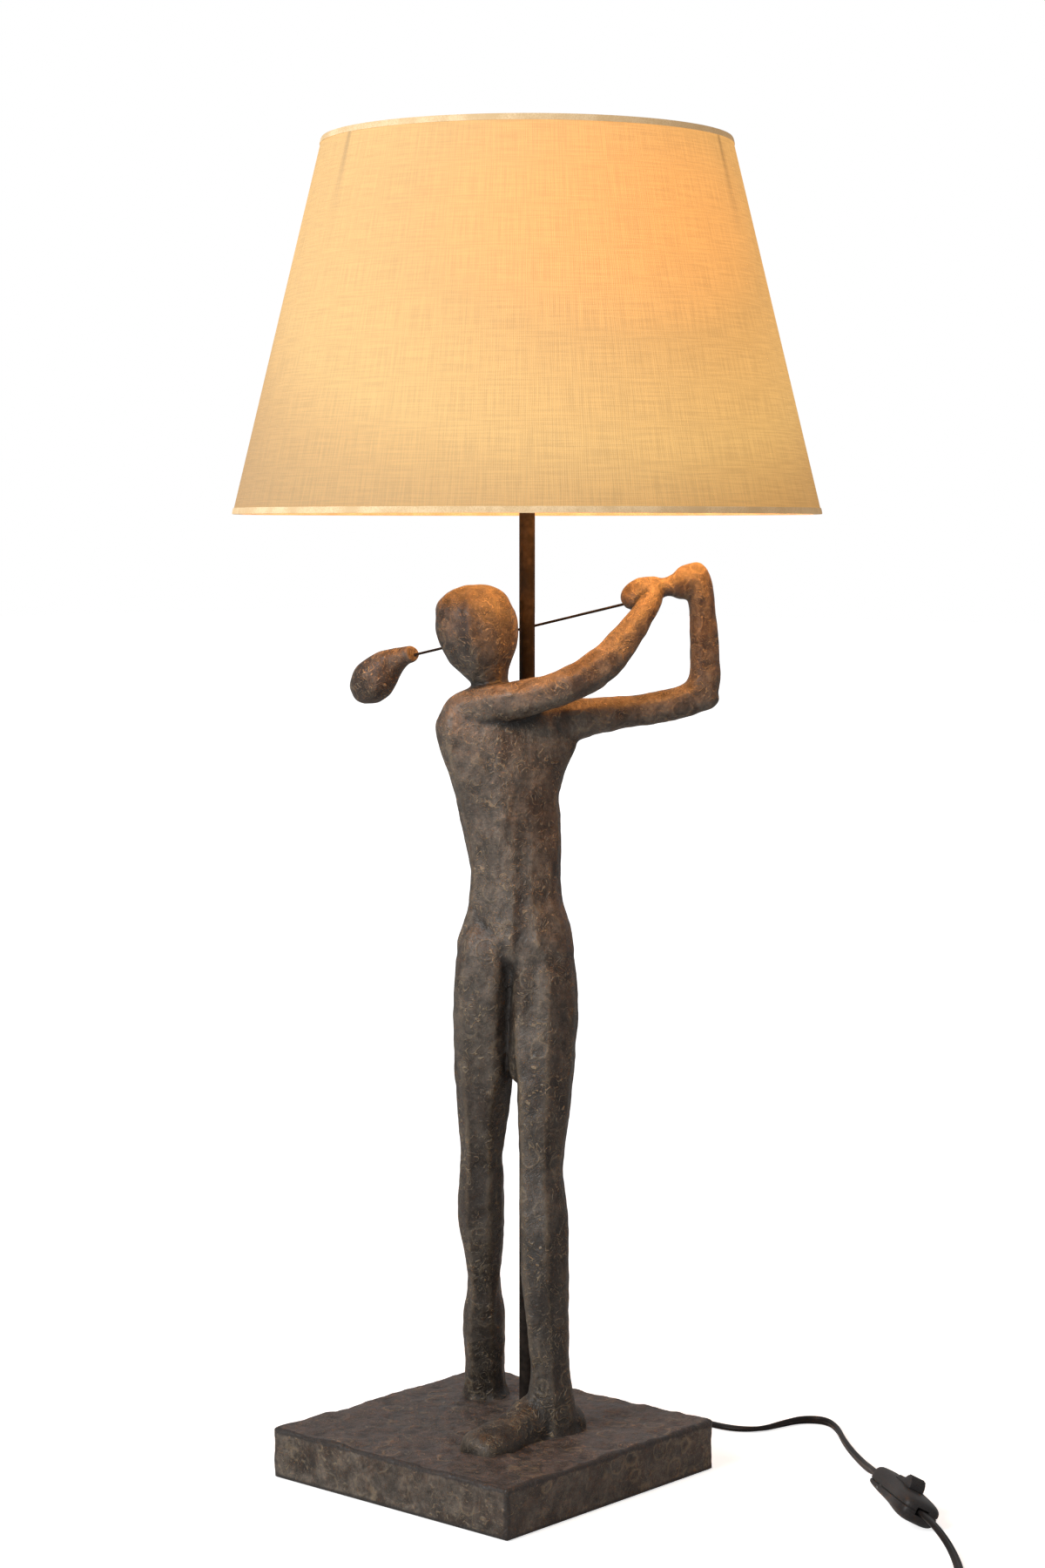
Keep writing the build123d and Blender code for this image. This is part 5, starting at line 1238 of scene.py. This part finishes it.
# ======== fittings ========
# Each real material's finish: its colour and worn colour, metallic, roughness, scale of its grain, height of
# its bump in metres and, where it isn't 0.5, its specular level. Then the nodes that have it.
FINISHES = {
    # Steel tube and wire, sprayed with dark bronze lacquer: matt, a little grainy.
    "bronze_lacquer_dark": (("#2d2621", "#181411", 0.0, 0.7, 260.0, 0.00025, 0.12), (
        "pole_tube", "club_shaft",
    )),
    # Bought fasteners: pale grey, bright but cloudy.
    "zinc_plated_steel": (("#b9b9b5", "#8d8c86", 1.0, 0.34, 420.0, 0.00003), (
        "plate_screws", "pole_washer", "pole_nut", "pole_nipple", "neck_pin", "shoulder_pins",
        "foot_studs", "foot_washers", "foot_nuts", "clamp_screws", "switch_screws",
    )),
    # Pressed sheet under thin black lacquer: half matt and smooth.
    "steel_plate_lacquered": (("#2a2823", "#191815", 0.0, 0.5, 300.0, 0.00004), ("base_bottom_plate",)),
    # Moulded lampholder plastic: creamy white with a soft shine.
    "thermoplastic_white": (("#e9e6df", "#d9d4c8", 0.0, 0.4, 240.0, 0.00003), (
        "holder_cap", "holder_skirt", "retaining_ring",
    )),
    # Glazed insert: hard, white and glossy.
    "porcelain_glazed": (("#efece4", "#e2ddd0", 0.0, 0.16, 120.0, 0.00002), ("holder_insert",)),
    # Turned and pressed brass: warm yellow, brushed by wear.
    "brass_plain": (("#b99548", "#8a6c34", 1.0, 0.3, 420.0, 0.00003), (
        "holder_screw_shell", "holder_centre_contact", "holder_terminals", "switch_terminals",
        "plug_pins",
    )),
    # The bulb's rolled cap: light grey and fairly bright.
    "aluminium_rolled": (("#bdbdbb", "#94938f", 1.0, 0.32, 420.0, 0.00003), ("bulb_cap",)),
    # Black glass between cap and tip: deep and shiny.
    "vitrite_black": (("#20201f", "#121212", 0.0, 0.12, 200.0, 0.00001), ("bulb_insulator",)),
    # A soldered tip: dull grey and uneven.
    "solder_dull": (("#a8a8a4", "#7d7c77", 1.0, 0.5, 500.0, 0.00005), ("bulb_tip",)),
    # Powder-coated wire: off-white and smooth.
    "epoxy_coated_wire": (("#e4ded2", "#cfc7b6", 0.0, 0.36, 300.0, 0.00003), (
        "shade_top_ring", "shade_bottom_ring", "shade_arms", "shade_fitter",
    )),
    # Moulded housings: nearly black, with a fine spark-eroded grain.
    "abs_moulded_black": (("#3a3939", "#242323", 0.0, 0.5, 1100.0, 0.00007), (
        "switch_base", "switch_cover", "switch_rocker", "plug_body", "cord_bush",
    )),
    # Soft extruded sheath: black with a low shine.
    "pvc_lead_inside": (("#2b2a2a", "#1c1b1b", 0.0, 0.46, 900.0, 0.00005), ("inner_lead",)),
    # Unpainted nylon: milky and waxy.
    "nylon_moulded": (("#d9d6cb", "#c4bfae", 0.0, 0.45, 500.0, 0.00003), ("cord_clamp",)),
    # Pressed felt: fuzzy, without any shine.
    "wool_felt_black": (("#1f241f", "#121512", 0.0, 0.95, 1500.0, 0.0004), ("base_felt",)),
    # Frosted glass with the filament lit behind it: warm white all over.
    "bulb_glass_frosted": (("#f6f0e0", "#f0e6cc", 0.0, 0.55, 300.0, 0.00001), ("bulb_glass",)),
}


class LAMP_OT_fittings(bpy.types.Operator):
    """Finish the pole, the lampholder, the bulb, the frame of the shade and the fixings"""

    bl_idname = "lamp.fittings"
    bl_label = "Fittings"

    def execute(self, context):
        for name, (values, nodes) in FINISHES.items():
            finish_with(plain_finish(name, *values), *[NODES[node] for node in nodes])
        let_glow(bpy.data.materials["bulb_glass_frosted"], "#ffd9a0", 2.0)
        NODES["bulb_glass"].visible_shadow = False
        return {"FINISHED"}


# ======== stage ========
# The camera, as fitted to the photo. Its lens and sensor are in millimetres.
CAMERA_PLACE = (1.259456, -1.432733, 0.560322)
CAMERA_DOWN = radians(4.5461)
CAMERA_HEADING = (-0.6613, 0.7501)
LENS, SENSOR = 73.17, 36.0
# The softbox stands to the picture's left, above and in front, and points at the figure's chest.
SOFTBOX_PLACE, SOFTBOX_AIM = (-0.18, -1.78, 1.36), (0, 0, 0.4)
SOFTBOX_SIZE = (1.1, 1.3)
# The filament leans towards the shade's bright side, this far below the top of the glass.
FILAMENT_PLACE, FILAMENT_BELOW, FILAMENT_SIZE = (0.05, 0.012), 0.042, 0.05
# The floor is large, and lies just below the felt so that the two don't flicker.
FLOOR_SIZE, FLOOR_HEIGHT = 30.0, -0.0004
# The paper's own light, which only the camera sees, from near the lamp to far off.
PAPER_NEAR, PAPER_FAR = 0.35, 2.0
LIFT_NEAR, LIFT_FAR = 0.76, 1.1
# Sheen comes from a room that is white but not bright.
SHEEN_ROOM = 0.4


class LAMP_OT_stage(bpy.types.Operator):
    """Set the floor, the studio light, the lit bulb and the camera"""

    bl_idname = "lamp.stage"
    bl_label = "Stage"

    def execute(self, context):
        settings = context.scene.lamp_stage
        scene = context.scene
        lens = bpy.data.cameras.new("camera")
        lens.sensor_width = SENSOR
        lens.lens = LENS
        lens.clip_end = FLOOR_SIZE
        camera = scene.camera = new_object("camera", lens)
        camera.location = CAMERA_PLACE
        level = cos(CAMERA_DOWN)
        look = Vector((*(part * level for part in CAMERA_HEADING), -sin(CAMERA_DOWN)))
        camera.rotation_euler = look.to_track_quat("-Z", "Y").to_euler()

        bpy.ops.object.select_all(action="DESELECT")
        bpy.ops.mesh.primitive_plane_add(size=FLOOR_SIZE, location=(0, 0, FLOOR_HEIGHT))
        floor = context.object
        floor.name = floor.data.name = "floor"
        material, tree = blank_material("paper_white")
        path = add(tree, "LightPath")
        diffuse = add(tree, "BsdfDiffuse", {"Color": (0.82, 0.82, 0.82, 1.0)})
        place = add(tree, "TexCoord").outputs["Object"]
        away = add(tree, "VectorMath", {0: place}, operation="LENGTH").outputs["Value"]
        # The paper stays white into the distance, and still takes the lamp's shadow near its foot.
        gain = add(tree, "MapRange", {0: away, 1: PAPER_NEAR, 2: PAPER_FAR, 3: LIFT_NEAR, 4: LIFT_FAR})
        lift = add(tree, "Emission", {"Color": (1, 1, 1, 1), "Strength": gain})
        both = add(tree, "AddShader", {0: diffuse, 1: lift})
        mix = add(tree, "MixShader", {0: path.outputs["Is Camera Ray"], 1: diffuse, 2: both})
        add(tree, "OutputMaterial", {"Surface": mix})
        finish_with(material, floor)

        world = bpy.data.worlds.new("studio")
        scene.world = world
        world.use_nodes = True
        sky = world.node_tree
        sky.nodes.clear()
        path = add(sky, "LightPath")
        seen = add(sky, "Math", {
            0: path.outputs["Is Camera Ray"], 1: path.outputs["Is Transmission Ray"],
        }, operation="MAXIMUM")
        dull = add(sky, "MapRange", {0: path.outputs["Is Glossy Ray"], 3: settings.sky, 4: SHEEN_ROOM})
        even = add(sky, "Background", {"Color": (1, 1, 1, 1), "Strength": dull})
        white = add(sky, "Background", {"Color": (1, 1, 1, 1), "Strength": 1.0})
        mix = add(sky, "MixShader", {0: seen, 1: even, 2: white})
        add(sky, "OutputWorld", {"Surface": mix})

        box = bpy.data.lights.new("softbox", "AREA")
        box.shape = "RECTANGLE"
        box.size, box.size_y = SOFTBOX_SIZE
        box.energy = settings.key
        softbox = new_object("softbox", box)
        softbox.location = SOFTBOX_PLACE
        aim = Vector(SOFTBOX_AIM) - softbox.location
        softbox.rotation_euler = aim.to_track_quat("-Z", "Y").to_euler()

        glow = bpy.data.lights.new("lit_bulb", "POINT")
        glow.energy = settings.bulb
        glow.color = linear("#ffa14f")[:3]
        glow.shadow_soft_size = FILAMENT_SIZE
        bulb = new_object("lit_bulb", glow)
        bulb.location = (*FILAMENT_PLACE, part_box("bulb_glass")[1].z - FILAMENT_BELOW)

        scene.view_settings.view_transform = "Standard"
        return {"FINISHED"}


class LAMP_PT_parts(bpy.types.Panel):
    """Lists the lamp's pieces and their settings"""

    bl_label = "Figural Table Lamp"
    bl_space_type = "VIEW_3D"
    bl_region_type = "UI"
    bl_category = "Lamp"

    def draw(self, context):
        scene = context.scene
        for operator, settings in (
            ("lamp.stage", scene.lamp_stage), ("lamp.fittings", None), ("lamp.lead", scene.lamp_lead),
            ("lamp.figure", scene.lamp_casting), ("lamp.plinth", None), ("lamp.shade", scene.lamp_shade),
        ):
            box = self.layout.box()
            box.operator(operator)
            for name in (settings.__annotations__ if settings else ()):
                box.prop(settings, name)


SETTINGS = {
    "lamp_casting": LampCastingSettings,
    "lamp_shade": LampShadeSettings,
    "lamp_lead": LampLeadSettings,
    "lamp_stage": LampStageSettings,
}
OPERATORS = (LAMP_OT_stage, LAMP_OT_fittings, LAMP_OT_lead, LAMP_OT_figure, LAMP_OT_plinth, LAMP_OT_shade)


def register():
    for name, group in SETTINGS.items():
        bpy.utils.register_class(group)
        setattr(bpy.types.Scene, name, bpy.props.PointerProperty(type=group))
    for kind in (*OPERATORS, LAMP_PT_parts):
        bpy.utils.register_class(kind)


def unregister():
    for kind in reversed((*OPERATORS, LAMP_PT_parts)):
        bpy.utils.unregister_class(kind)
    for name, group in reversed(SETTINGS.items()):
        delattr(bpy.types.Scene, name)
        bpy.utils.unregister_class(group)


def main():
    """Make every piece in order."""
    register()
    bpy.ops.lamp.stage()
    bpy.ops.lamp.fittings()
    bpy.ops.lamp.lead()
    bpy.ops.lamp.figure()
    bpy.ops.lamp.plinth()
    bpy.ops.lamp.shade()


if __name__ == "__main__":
    main()
